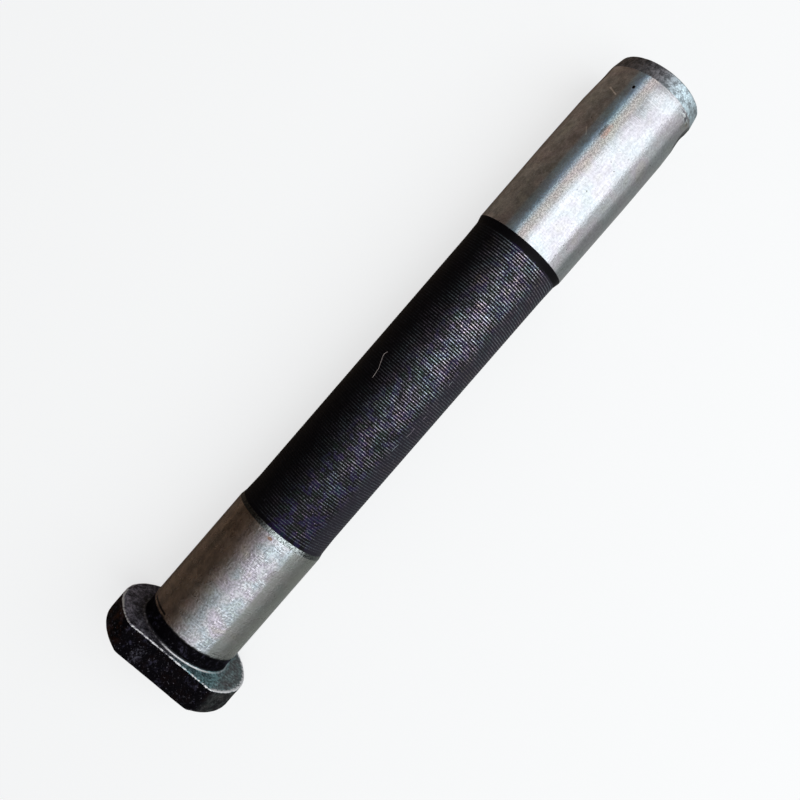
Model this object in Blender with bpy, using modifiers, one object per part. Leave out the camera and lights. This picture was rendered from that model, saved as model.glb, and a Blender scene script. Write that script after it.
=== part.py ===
"""Track chain pin: a headed steel pin with two flats on its head, lying as it comes to rest.

The pin is turned about +X, head at -X and tail at +X. It lies on the lower flat of its head and
on its tail land, so its axis falls slightly towards the tail. The origin is on the surface it
lies on, under the middle of the pin.
"""

import math

import bmesh
import bpy
from mathutils import Matrix, Vector

MM = 0.001

# Head
HEAD_RADIUS = 26.8 * MM
HEAD_THICKNESS = 10.8 * MM
HEAD_END_ROUND = 2.8 * MM
FLAT_TO_AXIS = 20.2 * MM

# Neck, left rough between the head and its land
NECK_LENGTH = 5.9 * MM
NECK_DEPTH = 0.2 * MM
NECK_FILLET = 1.4 * MM

# Head land, ground
LAND_RADIUS = 18.0 * MM
HEAD_LAND_LENGTH = 46.2 * MM

# Middle, turned down: a chamfer and a run-out into it, and a rise and a ramp out of it
MIDDLE_DEPTH = 0.75 * MM
CHAMFER_LENGTH = 2.3 * MM
CHAMFER_DEPTH = 0.45 * MM
RUN_OUT_LENGTH = 6.6 * MM
MIDDLE_LENGTH = 110.5 * MM
RISE_LENGTH = 6.2 * MM
RAMP_LENGTH = 2.4 * MM
RAMP_DEPTH = 0.6 * MM

# Tail land, ground, then worn and stepped down towards the cross hole
TAIL_LAND_LENGTH = 33.0 * MM
WEAR_LENGTH = 20.0 * MM
WEAR_DEPTH = 0.25 * MM
TAIL_STEP_LENGTH = 6.5 * MM
TAIL_STEP_DEPTH = 0.4 * MM
TAIL_BAND_LENGTH = 7.4 * MM
LEAD_IN_LENGTH = 5.6 * MM
LEAD_IN_DEPTH = 1.15 * MM
TAIL_EDGE_ROUND = 0.8 * MM
TAIL_SKEW = math.radians(2.4)

# Cross hole for a split pin, along Y but turned about the pin, its mouth at -Y up
HOLE_RADIUS = 5.0 * MM
HOLE_TO_TAIL_END = 9.0 * MM
HOLE_TURN = math.radians(5.0)

# Facets
TURNED_STEPS = 120
HOLE_STEPS = 40
ROUND_STEPS = 4
SHARP_ANGLE = math.radians(12.0)
WELD_DISTANCE = 0.001 * MM
CUT_MARGIN = 5.0 * MM

# Stations along the axis, measured from the shoulder towards the tail
HEAD_LAND_END = NECK_LENGTH + HEAD_LAND_LENGTH
RUN_OUT_START = HEAD_LAND_END + CHAMFER_LENGTH
MIDDLE_START = RUN_OUT_START + RUN_OUT_LENGTH
MIDDLE_END = MIDDLE_START + MIDDLE_LENGTH
RAMP_START = MIDDLE_END + RISE_LENGTH
TAIL_LAND_START = RAMP_START + RAMP_LENGTH
TAIL_LAND_END = TAIL_LAND_START + TAIL_LAND_LENGTH
TAIL_STEP_START = TAIL_LAND_END + WEAR_LENGTH
TAIL_BAND_START = TAIL_STEP_START + TAIL_STEP_LENGTH
LEAD_IN_START = TAIL_BAND_START + TAIL_BAND_LENGTH
TAIL_END = LEAD_IN_START + LEAD_IN_LENGTH
HOLE_STATION = TAIL_END - HOLE_TO_TAIL_END

NECK_RADIUS = LAND_RADIUS - NECK_DEPTH
MIDDLE_RADIUS = LAND_RADIUS - MIDDLE_DEPTH
TAIL_STEP_RADIUS = LAND_RADIUS - WEAR_DEPTH
TAIL_BAND_RADIUS = TAIL_STEP_RADIUS - TAIL_STEP_DEPTH
TAIL_END_RADIUS = TAIL_BAND_RADIUS - LEAD_IN_DEPTH

# The pin lies on the lower flat's edge at the shoulder and on the end of its full tail land.
REST_TILT = math.atan((FLAT_TO_AXIS - LAND_RADIUS) / TAIL_LAND_END)
PIN_MIDDLE = (TAIL_END - HEAD_THICKNESS) / 2


def arc(centre_s, centre_r, radius, start_angle, end_angle):
    """Points of an arc in the profile's plane, as (station, radius) pairs."""
    points = []
    for step in range(ROUND_STEPS + 1):
        angle = start_angle + (end_angle - start_angle) * step / ROUND_STEPS
        points.append((centre_s + radius * math.cos(angle), centre_r + radius * math.sin(angle)))
    return points


def head_profile():
    """From the middle of the head's end face, around the head, to the foot of the neck's fillet."""
    end_round = arc(
        HEAD_END_ROUND - HEAD_THICKNESS,
        HEAD_RADIUS - HEAD_END_ROUND,
        HEAD_END_ROUND,
        math.pi,
        math.pi / 2,
    )
    fillet = arc(NECK_FILLET, NECK_RADIUS + NECK_FILLET, NECK_FILLET, math.pi, math.pi * 1.5)
    return [(-HEAD_THICKNESS, 0.0)] + end_round + [(0.0, HEAD_RADIUS)] + fillet


def shank_profile():
    """From the end of the neck to the start of the lead-in."""
    return [
        (NECK_LENGTH - NECK_DEPTH, NECK_RADIUS),
        (NECK_LENGTH, LAND_RADIUS),
        (HEAD_LAND_END, LAND_RADIUS),
        (RUN_OUT_START, LAND_RADIUS - CHAMFER_DEPTH),
        (MIDDLE_START, MIDDLE_RADIUS),
        (MIDDLE_END, MIDDLE_RADIUS),
        (RAMP_START, LAND_RADIUS - RAMP_DEPTH),
        (TAIL_LAND_START, LAND_RADIUS),
        (TAIL_LAND_END, LAND_RADIUS),
        (TAIL_STEP_START, TAIL_STEP_RADIUS),
        (TAIL_BAND_START, TAIL_BAND_RADIUS),
        (LEAD_IN_START, TAIL_BAND_RADIUS),
    ]


def tail_profile():
    """The rounded edge between the lead-in and the tail's end face, and that face's middle."""
    slope = math.atan2(LEAD_IN_DEPTH, LEAD_IN_LENGTH)
    inset = TAIL_EDGE_ROUND * math.tan((math.pi / 2 - slope) / 2)
    edge = arc(
        TAIL_END - TAIL_EDGE_ROUND,
        TAIL_END_RADIUS - inset,
        TAIL_EDGE_ROUND,
        math.pi / 2 - slope,
        0.0,
    )
    return edge + [(TAIL_END, 0.0)]


def link(obj, collection, parent):
    collection.objects.link(obj)
    obj.parent = parent
    return obj


def turned_mesh(name, profile, collection):
    """Turn a profile of (station, radius) pairs about Z, and lay it down with its head at -X."""
    outline = bpy.data.meshes.new("outline")
    body = bmesh.new()
    vertices = [body.verts.new((radius, 0.0, -station)) for station, radius in profile]
    for first, second in zip(vertices, vertices[1:]):
        body.edges.new((first, second))
    body.to_mesh(outline)
    body.free()

    lathe = link(bpy.data.objects.new("lathe", outline), collection, None)
    turn = lathe.modifiers.new("turn", "SCREW")
    turn.axis = "Z"
    turn.angle = math.tau
    turn.steps = TURNED_STEPS
    turn.render_steps = TURNED_STEPS
    turn.use_merge_vertices = True
    turn.merge_threshold = WELD_DISTANCE

    depsgraph = bpy.context.evaluated_depsgraph_get()
    mesh = bpy.data.meshes.new_from_object(lathe.evaluated_get(depsgraph))
    mesh.name = name
    bpy.data.objects.remove(lathe)
    mesh.transform(Matrix.Rotation(-math.pi / 2, 4, "Y"))
    return mesh


def skew_tail(mesh):
    """The bar was cropped a little out of square, so the lead-in and the end face lean together."""
    lean = math.tan(TAIL_SKEW)
    for vertex in mesh.vertices:
        if vertex.co.x > LEAD_IN_START - WELD_DISTANCE:
            vertex.co.x -= lean * vertex.co.y


def cutter(name, shape, collection, parent):
    """An object that only cuts others, made from a finished bmesh."""
    mesh = bpy.data.meshes.new(name)
    shape.to_mesh(mesh)
    shape.free()
    obj = link(bpy.data.objects.new(name, mesh), collection, parent)
    obj.hide_render = True
    obj.display_type = "WIRE"
    return obj


def flat_cutter(name, side, collection, parent):
    """A block past one flat of the head: side is +1 for the upper flat and -1 for the lower one."""
    length = HEAD_THICKNESS + 2 * CUT_MARGIN
    width = 2 * (HEAD_RADIUS + CUT_MARGIN)
    height = HEAD_RADIUS - FLAT_TO_AXIS + CUT_MARGIN
    block = bmesh.new()
    bmesh.ops.create_cube(block, size=1.0)
    bmesh.ops.scale(block, vec=(length, width, height), verts=block.verts)
    middle = Vector((-HEAD_THICKNESS / 2, 0.0, side * (FLAT_TO_AXIS + height / 2)))
    bmesh.ops.translate(block, vec=middle, verts=block.verts)
    return cutter(name, block, collection, parent)


def hole_cutter(collection, parent):
    """A round bar across the tail, its end at -Y turned up."""
    turn = Matrix.Rotation(math.pi / 2 - HOLE_TURN, 4, "X")
    across = Matrix.Translation((HOLE_STATION, 0.0, 0.0)) @ turn
    bar = bmesh.new()
    bmesh.ops.create_cone(
        bar,
        cap_ends=True,
        segments=HOLE_STEPS,
        radius1=HOLE_RADIUS,
        radius2=HOLE_RADIUS,
        depth=2 * (LAND_RADIUS + CUT_MARGIN),
        matrix=across,
    )
    return cutter("hole_cutter", bar, collection, parent)


def dark_steel():
    material = bpy.data.materials.new("dark_steel")
    material.use_nodes = True
    shader = material.node_tree.nodes["Principled BSDF"]
    shader.inputs["Base Color"].default_value = (0.16, 0.16, 0.17, 1.0)
    shader.inputs["Metallic"].default_value = 1.0
    shader.inputs["Roughness"].default_value = 0.35
    return material


def resting_axes(collection):
    """An empty at the shoulder on the pin's axis, with X along the axis of the lying pin."""
    axes = bpy.data.objects.new("pin_axes", None)
    lean = Matrix.Rotation(REST_TILT, 4, "Y")
    height = FLAT_TO_AXIS * math.cos(REST_TILT)
    middle = PIN_MIDDLE * math.cos(REST_TILT)
    axes.matrix_world = Matrix.Translation((-middle, 0.0, height)) @ lean
    return link(axes, collection, None)


def build_pin(collection, cutters):
    axes = resting_axes(collection)
    profile = head_profile() + shank_profile() + tail_profile()
    mesh = turned_mesh("track_pin", profile, collection)
    skew_tail(mesh)
    mesh.materials.append(dark_steel())
    mesh.shade_smooth()
    mesh.set_sharp_from_angle(angle=SHARP_ANGLE)
    pin = link(bpy.data.objects.new("track_pin", mesh), collection, axes)

    shapes = [
        flat_cutter("upper_flat_cutter", 1, cutters, axes),
        flat_cutter("lower_flat_cutter", -1, cutters, axes),
        hole_cutter(cutters, axes),
    ]
    for shape in shapes:
        cut = pin.modifiers.new(shape.name, "BOOLEAN")
        cut.operation = "DIFFERENCE"
        cut.solver = "EXACT"
        cut.object = shape
    return pin


def new_collection(name):
    collection = bpy.data.collections.new(name)
    bpy.context.scene.collection.children.link(collection)
    return collection


def main():
    for obj in list(bpy.data.objects):
        bpy.data.objects.remove(obj)
    build_pin(new_collection("track_chain_pin"), new_collection("cutters"))


main()
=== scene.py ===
"""Track chain pin: the visual model of one headed steel pin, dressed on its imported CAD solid.

The pin is modelled straight, about the X axis with its shoulder at the origin, head at -X and tail
at +X, and is then laid down as its CAD solid lies. Angles around it start at +Z and grow to +Y.
"""

import math

import bmesh
import bpy
from bpy.props import FloatProperty, FloatVectorProperty, IntProperty, PointerProperty
from mathutils import Matrix, Vector, noise


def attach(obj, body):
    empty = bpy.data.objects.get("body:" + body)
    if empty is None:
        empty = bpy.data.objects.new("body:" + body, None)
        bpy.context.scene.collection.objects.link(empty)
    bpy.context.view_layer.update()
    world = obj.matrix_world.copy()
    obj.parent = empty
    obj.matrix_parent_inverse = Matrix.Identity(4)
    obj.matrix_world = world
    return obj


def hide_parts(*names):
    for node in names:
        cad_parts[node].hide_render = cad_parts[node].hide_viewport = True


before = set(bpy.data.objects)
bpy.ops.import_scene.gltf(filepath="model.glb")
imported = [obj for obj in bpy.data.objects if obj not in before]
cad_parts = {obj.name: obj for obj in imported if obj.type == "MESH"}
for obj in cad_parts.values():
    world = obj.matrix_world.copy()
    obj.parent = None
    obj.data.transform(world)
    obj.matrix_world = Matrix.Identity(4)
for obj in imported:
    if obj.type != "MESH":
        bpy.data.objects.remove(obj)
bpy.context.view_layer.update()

bl_info = {
    "name": "Track chain pin",
    "version": (1, 0, 0),
    "blender": (4, 5, 0),
    "location": "3D View > Sidebar > Track pin",
    "description": "Builds a headed steel pin with ground lands and a finely turned middle",
    "category": "Add Mesh",
}

MM = 0.001

# Head, between its end face and its shoulder
HEAD_RADIUS = 26.8 * MM
HEAD_THICKNESS = 10.8 * MM
HEAD_END_ROUND = 2.8 * MM
FLAT_TO_AXIS = 20.2 * MM
HEAD_RING_GAP = 1.1 * MM

# Stations along the axis, from the shoulder towards the tail, with the radius at each
NECK_FILLET = 1.4 * MM
NECK_RADIUS = 17.8 * MM
NECK_END = 5.9 * MM
LAND_RADIUS = 18.0 * MM
HEAD_LAND_END = 52.1 * MM
RUN_OUT_START = 54.4 * MM
CHAMFER_SHOWN_TO = HEAD_LAND_END + 0.85 * (RUN_OUT_START - HEAD_LAND_END)
RUN_OUT_RADIUS = 17.55 * MM
MIDDLE_START = 61.0 * MM
MIDDLE_RADIUS = 17.25 * MM
MIDDLE_END = 171.5 * MM
RAMP_START = 177.7 * MM
RAMP_RADIUS = 17.4 * MM
TAIL_LAND_START = 180.1 * MM
TAIL_LAND_END = 213.1 * MM
TAIL_STEP_START = 233.1 * MM
TAIL_STEP_RADIUS = 17.75 * MM
TAIL_BAND_START = 239.6 * MM
TAIL_BAND_RADIUS = 17.35 * MM
LEAD_IN_START = 247.0 * MM
TAIL_END = 252.6 * MM
TAIL_END_RADIUS = 16.2 * MM
TAIL_EDGE_ROUND = 0.8 * MM
TAIL_SKEW = math.radians(2.4)
LAND_RING_GAP = 3.0 * MM
FINE_RING_GAP = 0.7 * MM

# Cross hole, turned about the pin so that its mouth at -Y is the higher, and a small pit. A face
# within the hole's wall, or sunk in the pit within its reach, takes the black forging finish as
# painted shade.
HOLE_STATION = 243.6 * MM
HOLE_RADIUS = 5.0 * MM
HOLE_TURN = math.radians(5.0)
HOLE_AXIS = Vector((0.0, -math.cos(HOLE_TURN), math.sin(HOLE_TURN)))
HOLE_STEPS = 40
HOLE_WALL = HOLE_RADIUS * 1.003
PIT_STATION = 240.9 * MM
PIT_ANGLE = math.radians(24.9)
PIT_SIZE = (0.62 * MM, 0.5 * MM, 0.45 * MM)
PIT_LIFT = 0.02 * MM
PIT_SUNK = 0.03 * MM
PIT_REACH = 1.0 * MM

# Turned ridges on the middle
RIDGES_START = 54.95 * MM
RIDGES_END = 177.2 * MM
RIDGE_FADE = 2.5 * MM

# Worn arrises: width of each little chamfer
SHOULDER_ARRIS = 0.34 * MM
END_ARRIS = 0.4 * MM
CORNER_ARRIS = 0.2 * MM

# Forged skin of the head: waves of noise per metre, and what share of the dents' depth each has
BROAD_DENTS = 210.0
FINE_DENTS = 900.0
ROUND_SHARE = 0.75
FLAT_SHARE = 0.25
FINE_SHARE = 0.25
DENT_LEAN = 0.6

# Knocks in the arrises at the shoulder: waves of noise per metre, reach and gain
KNOCKS = 620.0
KNOCK_REACH = SHOULDER_ARRIS * 2.2
KNOCK_GAIN = 1.6

# Battered lead-in: waves of noise per metre, depths, and how far in over the end face it goes
BROAD_BLOWS = 330.0
FINE_BLOWS = 1100.0
BROAD_BLOW_DEPTH = 0.16
FINE_BLOW_DEPTH = 0.07
BLOWS_REACH = 2.5 * MM

# Lint fibre on the middle: station in mm and angle in degrees along it
FIBRE_PATH = (
    (113.6, 34.5),
    (114.6, 34.6),
    (115.9, 35.4),
    (117.2, 36.0),
    (118.2, 37.7),
    (119.3, 39.6),
    (120.4, 41.4),
    (121.2, 42.9),
    (122.1, 43.8),
    (122.9, 42.9),
    (123.4, 41.9),
)
FIBRE_SIDES = 6
FIBRE_LIFT = 0.04 * MM

# Small nicks on the low side of the middle: station in mm and angle in degrees of both ends
NICKS = (
    ((99.1, -41.4), (100.6, -41.0)),
    ((100.6, -41.0), (102.1, -42.2)),
    ((106.0, -44.2), (107.6, -45.4)),
    ((107.6, -45.4), (109.8, -44.6)),
    ((114.1, -45.6), (115.4, -46.6)),
    ((128.2, -41.4), (130.0, -41.0)),
)

# Mesh working values; near is the margin for telling which face or edge is meant
SEAM_GAP = 0.0001
WELD = 0.006 * MM
NEAR = 0.1 * MM
SHARP_ANGLE = math.radians(24.0)
ARC_STEPS = 6

# How the pin lies: on the lower flat's edge at the shoulder and on the end of its full tail land
REST_TILT = math.atan((FLAT_TO_AXIS - LAND_RADIUS) / TAIL_LAND_END)
PIN_MIDDLE = (TAIL_END - HEAD_THICKNESS) / 2
LYING = (
    Matrix.Translation(
        (-PIN_MIDDLE * math.cos(REST_TILT), 0.0, FLAT_TO_AXIS * math.cos(REST_TILT))
    )
    @ Matrix.Rotation(REST_TILT, 4, "Y")
)

# The Mix node's sockets when it mixes colours
MIX_FACTOR = 0
MIX_FIRST = 6
MIX_SECOND = 7
MIX_RESULT = 2

# Finishes of the two ground lands; bump is in millimetres
DULL_LAND = {"brightness": 0.80, "roughness": 0.27, "speckle": 0.28, "film": 0.6, "bump": 0.16}
CLEAN_LAND = {"brightness": 0.98, "roughness": 0.23, "speckle": 0.10, "film": 0.3, "bump": 0.04}

# Stage: soft key light, plain world, and the tray that only reflections see
KEY_PLACE = (0.20, -0.45, 0.78)
KEY_SIZE = (1.0, 1.2)
KEY_POWER = 9.0
KEY_COLOUR = (0.91, 0.965, 1.0)
WORLD_LIGHT = 0.26
FLOOR_SIZE = 6.0
FLOOR_WHITE = 0.70
TRAY_LEVEL = 0.6 * MM
TRAY_HALF_LENGTH = 0.30
TRAY_LEFT = 0.075
TRAY_RIGHT = -0.26
WALL_HEIGHT = 0.15
WALL_SLOPE = 0.20
WALL_TOP = 0.022
GREY_FROM = 0.005
GREY_TO = -0.025
DARK_SIDE = (0.22, 0.165, 0.125, 1.0)
BLUE_TOP = (0.22, 0.29, 0.35, 1.0)
GREY_SIDE = (0.42, 0.425, 0.40, 1.0)

# Camera, as fitted to the photograph
CAMERA_PLACE = (5.49 * MM, 10.67 * MM, 299.61 * MM)
CAMERA_TURN = (math.radians(-3.785), math.radians(-0.339), math.radians(-49.095))
CAMERA_LENS = 36.0
CAMERA_SENSOR = 36.0
CAMERA_CLIP = 0.01


class PinSizes(bpy.types.PropertyGroup):
    """Sizes that the pin's detail is made from."""

    columns: IntProperty(
        name="Columns",
        description="Faces around the pin",
        default=192,
        min=48,
        max=240,
    )
    ridge_pitch: FloatProperty(
        name="Ridge pitch",
        description="Distance from one turned ridge to the next",
        default=0.97 * MM,
        unit="LENGTH",
        subtype="DISTANCE",
        precision=5,
    )
    ridge_depth: FloatProperty(
        name="Ridge depth",
        description="Height of a turned ridge above the groove beside it",
        default=0.07 * MM,
        unit="LENGTH",
        subtype="DISTANCE",
        precision=5,
    )
    forging_dents: FloatProperty(
        name="Forging dents",
        description="How far the forged skin of the head dips below its true form",
        default=0.22 * MM,
        unit="LENGTH",
        subtype="DISTANCE",
        precision=5,
    )
    arris_wear: FloatProperty(
        name="Arris wear",
        description="How far knocks go into the worn arrises of the head",
        default=0.22 * MM,
        unit="LENGTH",
        subtype="DISTANCE",
        precision=5,
    )
    fibre_thickness: FloatProperty(
        name="Fibre thickness",
        description="Thickness of the lint fibre that clings to the middle",
        default=0.12 * MM,
        unit="LENGTH",
        subtype="DISTANCE",
        precision=5,
    )


class PinColours(bpy.types.PropertyGroup):
    """Colours of the pin's finishes and of the stage."""

    ground_steel: FloatVectorProperty(
        name="Ground steel",
        description="The two ground lands",
        default=(0.36, 0.36, 0.37),
        size=3,
        subtype="COLOR",
    )
    forging_scale: FloatVectorProperty(
        name="Forging scale",
        description="The black skin of the head and the neck",
        default=(0.0011, 0.0008, 0.0015),
        size=3,
        subtype="COLOR",
    )
    black_oxide: FloatVectorProperty(
        name="Black oxide",
        description="The turned middle",
        default=(0.0018, 0.0015, 0.0022),
        size=3,
        subtype="COLOR",
    )
    bare_steel: FloatVectorProperty(
        name="Bare steel",
        description="Worn arrises, ridge crests and scratches",
        default=(0.62, 0.61, 0.62),
        size=3,
        subtype="COLOR",
    )
    rust: FloatVectorProperty(
        name="Rust",
        description="Small rust spots and the brown bloom on the head",
        default=(0.16, 0.055, 0.02),
        size=3,
        subtype="COLOR",
    )
    floor: FloatVectorProperty(
        name="Floor",
        description="The plain floor that the pin lies on",
        default=(0.93, 0.93, 0.93),
        size=3,
        subtype="COLOR",
    )


def with_alpha(colour):
    """A colour's three channels with a full fourth one, as a shader socket takes them."""
    return (colour[0], colour[1], colour[2], 1.0)


# Profiles, as (station, radius) pairs


def spaced(start, end, gap):
    """Points from start up to but not including end, at most a gap apart."""
    steps = max(1, math.ceil((Vector(end) - Vector(start)).length / gap))
    return [tuple(Vector(start).lerp(Vector(end), step / steps)) for step in range(steps)]


def arc(centre_s, centre_r, radius, start_angle, end_angle):
    """Points along an arc, both ends included."""
    points = []
    for step in range(ARC_STEPS + 1):
        angle = start_angle + (end_angle - start_angle) * step / ARC_STEPS
        points.append((centre_s + radius * math.cos(angle), centre_r + radius * math.sin(angle)))
    return points


def head_profile():
    """From the middle of the end face, round the head, to the foot of the neck's fillet."""
    end_centre = (HEAD_END_ROUND - HEAD_THICKNESS, HEAD_RADIUS - HEAD_END_ROUND)
    end_round = arc(end_centre[0], end_centre[1], HEAD_END_ROUND, math.pi, math.pi / 2)
    fillet_centre_r = NECK_RADIUS + NECK_FILLET
    fillet = arc(NECK_FILLET, fillet_centre_r, NECK_FILLET, math.pi, math.pi * 1.5)
    rim = (-SHOULDER_ARRIS, HEAD_RADIUS)
    rim_foot = (0.0, HEAD_RADIUS - SHOULDER_ARRIS)
    return (
        spaced((-HEAD_THICKNESS, 0.0), end_round[0], 2 * HEAD_RING_GAP)
        + end_round[:-1]
        + spaced(end_round[-1], rim, HEAD_RING_GAP)
        + spaced(rim, rim_foot, HEAD_RING_GAP)
        + spaced(rim_foot, fillet[0], HEAD_RING_GAP)
        + fillet
    )


def plain_radius(station):
    """The middle's mean radius between the chamfer and the ramp."""
    if station < MIDDLE_START:
        part = (station - RUN_OUT_START) / (MIDDLE_START - RUN_OUT_START)
        return RUN_OUT_RADIUS + (MIDDLE_RADIUS - RUN_OUT_RADIUS) * part
    if station > MIDDLE_END:
        part = (station - MIDDLE_END) / (RAMP_START - MIDDLE_END)
        return MIDDLE_RADIUS + (RAMP_RADIUS - MIDDLE_RADIUS) * part
    return MIDDLE_RADIUS


def ridge_profile(pitch, depth):
    """Crest and groove in turn along the middle, fading in and out at its ends."""
    points = []
    half_pitches = int((RIDGES_END - RIDGES_START) / (pitch / 2))
    half_pitches -= half_pitches % 2
    for step in range(half_pitches + 1):
        station = RIDGES_START + step * pitch / 2
        edge = min(station - RIDGES_START, RIDGES_START + half_pitches * pitch / 2 - station)
        fade = min(1.0, edge / RIDGE_FADE)
        side = 0.5 if step % 2 else -0.5
        points.append((station, plain_radius(station) + side * depth * fade))
    return points


def shank_profile(pitch, depth):
    """From the foot of the neck's fillet to the middle of the tail's end face."""
    slope = math.atan2(TAIL_BAND_RADIUS - TAIL_END_RADIUS, TAIL_END - LEAD_IN_START)
    inset = TAIL_EDGE_ROUND * math.tan((math.pi / 2 - slope) / 2)
    edge_centre = (TAIL_END - TAIL_EDGE_ROUND, TAIL_END_RADIUS - inset)
    edge = arc(edge_centre[0], edge_centre[1], TAIL_EDGE_ROUND, math.pi / 2 - slope, 0.0)
    neck_foot = (NECK_END - LAND_RADIUS + NECK_RADIUS, NECK_RADIUS)
    land_start = (NECK_END, LAND_RADIUS)
    land_end = (HEAD_LAND_END, LAND_RADIUS)
    run_out = (RUN_OUT_START, RUN_OUT_RADIUS)
    ramp = (RAMP_START, RAMP_RADIUS)
    tail_land = (TAIL_LAND_START, LAND_RADIUS)
    tail_land_end = (TAIL_LAND_END, LAND_RADIUS)
    tail_step = (TAIL_STEP_START, TAIL_STEP_RADIUS)
    tail_band = (TAIL_BAND_START, TAIL_BAND_RADIUS)
    lead_in = (LEAD_IN_START, TAIL_BAND_RADIUS)
    return (
        spaced((NECK_FILLET, NECK_RADIUS), neck_foot, FINE_RING_GAP)
        + [neck_foot]
        + spaced(land_start, land_end, LAND_RING_GAP)
        + spaced(land_end, run_out, FINE_RING_GAP)
        + [run_out]
        + ridge_profile(pitch, depth)
        + spaced(ramp, tail_land, FINE_RING_GAP)
        + spaced(tail_land, tail_land_end, LAND_RING_GAP)
        + spaced(tail_land_end, tail_step, LAND_RING_GAP)
        + spaced(tail_step, tail_band, LAND_RING_GAP)
        + spaced(tail_band, lead_in, LAND_RING_GAP)
        + spaced(lead_in, edge[0], FINE_RING_GAP)
        + edge
        + spaced(edge[-1], (TAIL_END, 0.0), 2 * HEAD_RING_GAP)[1:]
        + [(TAIL_END, 0.0)]
    )


# Modelling


def deselect_all():
    bpy.ops.object.select_all(action="DESELECT")


def select_alone(obj):
    """Make one object the only selected one, and the active one."""
    deselect_all()
    obj.select_set(True)
    bpy.context.view_layer.objects.active = obj


def edit(obj):
    """Go into edit mode on one object alone."""
    select_alone(obj)
    bpy.ops.object.mode_set(mode="EDIT")


def leave_edit():
    bpy.ops.object.mode_set(mode="OBJECT")


def outwards(angle):
    """The direction away from the axis, at an angle around the pin."""
    return Vector((0.0, math.sin(angle), math.cos(angle)))


def turned(name, profile, columns):
    """Draw a half-section point by point, and spin it about the pin's axis.

    It is spun not quite all the way, so that the two sides of the seam can still be told apart.
    """
    around = outwards(math.pi - SEAM_GAP / 2)
    points = [Vector((station, 0.0, 0.0)) + radius * around for station, radius in profile]
    deselect_all()
    bpy.ops.mesh.primitive_plane_add(size=MM, location=points[0])
    obj = bpy.context.object
    obj.name = name
    obj.data.name = name
    bpy.ops.object.transform_apply(location=True, rotation=False, scale=False)
    bpy.ops.object.mode_set(mode="EDIT")
    bpy.ops.mesh.merge(type="CENTER")
    for start, end in zip(points, points[1:]):
        bpy.ops.mesh.extrude_vertices_move(TRANSFORM_OT_translate={"value": end - start})
    bpy.ops.mesh.select_all(action="SELECT")
    bpy.ops.mesh.spin(
        steps=columns,
        angle=math.tau - SEAM_GAP,
        center=(0.0, 0.0, 0.0),
        axis=(1.0, 0.0, 0.0),
    )
    leave_edit()
    return obj


def angle_of(place):
    """Angle around the pin, from +Z towards +Y."""
    return math.atan2(place[1], place[2])


def wind_ridges(mesh, pitch):
    """Wind the ridges into one long helix: each starts where the one before it ends."""
    for vertex in mesh.vertices:
        if RIDGES_START - WELD < vertex.co.x < RIDGES_END + WELD:
            vertex.co.x += pitch * angle_of(vertex.co) / math.tau


def close_seam(obj):
    """Join both sides of the seam, and the points that lie together on the axis."""
    edit(obj)
    bpy.ops.mesh.select_all(action="SELECT")
    bpy.ops.mesh.remove_doubles(threshold=WELD)
    leave_edit()


def plane_off(plane_point, plane_normal):
    """Cut away what lies beyond a plane, and close the cut."""
    bpy.ops.mesh.select_all(action="SELECT")
    bpy.ops.mesh.bisect(
        plane_co=plane_point,
        plane_no=plane_normal,
        use_fill=True,
        clear_outer=True,
    )


def cut_flats(head):
    """The two flats of the head, with a little chamfer along each of their arrises."""
    corner = math.acos(FLAT_TO_AXIS / HEAD_RADIUS)
    edit(head)
    for side in (1, -1):
        flat = Vector((0.0, 0.0, side * FLAT_TO_AXIS))
        plane_off(flat, (0.0, 0.0, side))
        plane_off(flat - Vector((SHOULDER_ARRIS, 0.0, 0.0)), (1.0, 0.0, side))
        end = Vector((END_ARRIS - HEAD_THICKNESS, 0.0, side * FLAT_TO_AXIS))
        plane_off(end, (-1.0, 0.0, side))
        for across in (1, -1):
            normal = Vector((0.0, across * math.sin(corner / 2), side * math.cos(corner / 2)))
            reach = HEAD_RADIUS * math.cos(corner / 2) - CORNER_ARRIS
            plane_off(normal * reach, normal)
    leave_edit()


def score(head, plane_point, plane_normal, least_height):
    """Cut an edge across the flats and their arrises, so that they can be dented there."""
    body = bmesh.from_edit_mesh(head.data)
    for face in body.faces:
        face.select_set(abs(face.calc_center_median().z) > least_height)
    body.select_flush_mode()
    bmesh.update_edit_mesh(head.data)
    bpy.ops.mesh.bisect(plane_co=plane_point, plane_no=plane_normal)


def grid_flats(head):
    """A grid of edges on the two flats."""
    edit(head)
    bpy.ops.mesh.select_mode(type="FACE")
    half_width = math.sqrt(HEAD_RADIUS**2 - FLAT_TO_AXIS**2)
    least_height = FLAT_TO_AXIS - SHOULDER_ARRIS
    lines = int(2 * half_width / HEAD_RING_GAP)
    for line in range(1, lines):
        across = -half_width + line * 2 * half_width / lines
        score(head, (0.0, across, 0.0), (0.0, 1.0, 0.0), least_height)
    rows = int(HEAD_THICKNESS / HEAD_RING_GAP)
    for row in range(1, rows):
        station = -HEAD_THICKNESS * row / rows
        score(head, (station, 0.0, 0.0), (1.0, 0.0, 0.0), least_height)
    bpy.ops.mesh.select_mode(type="VERT")
    leave_edit()


def arris_distance(place):
    """How far a point of the head is from its worn arrises at the shoulder."""
    to_flat = abs(FLAT_TO_AXIS - abs(place.z))
    to_rim = abs(HEAD_RADIUS - math.hypot(place.y, place.z))
    return math.hypot(place.x, min(to_flat, to_rim))


def unevenness(place, waves, shift=(0.0, 0.0, 0.0)):
    """Noise from 0 to 1, of so many waves per metre; shift picks another part of it."""
    return 0.5 + 0.5 * noise.noise(place * waves + Vector(shift))


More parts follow.
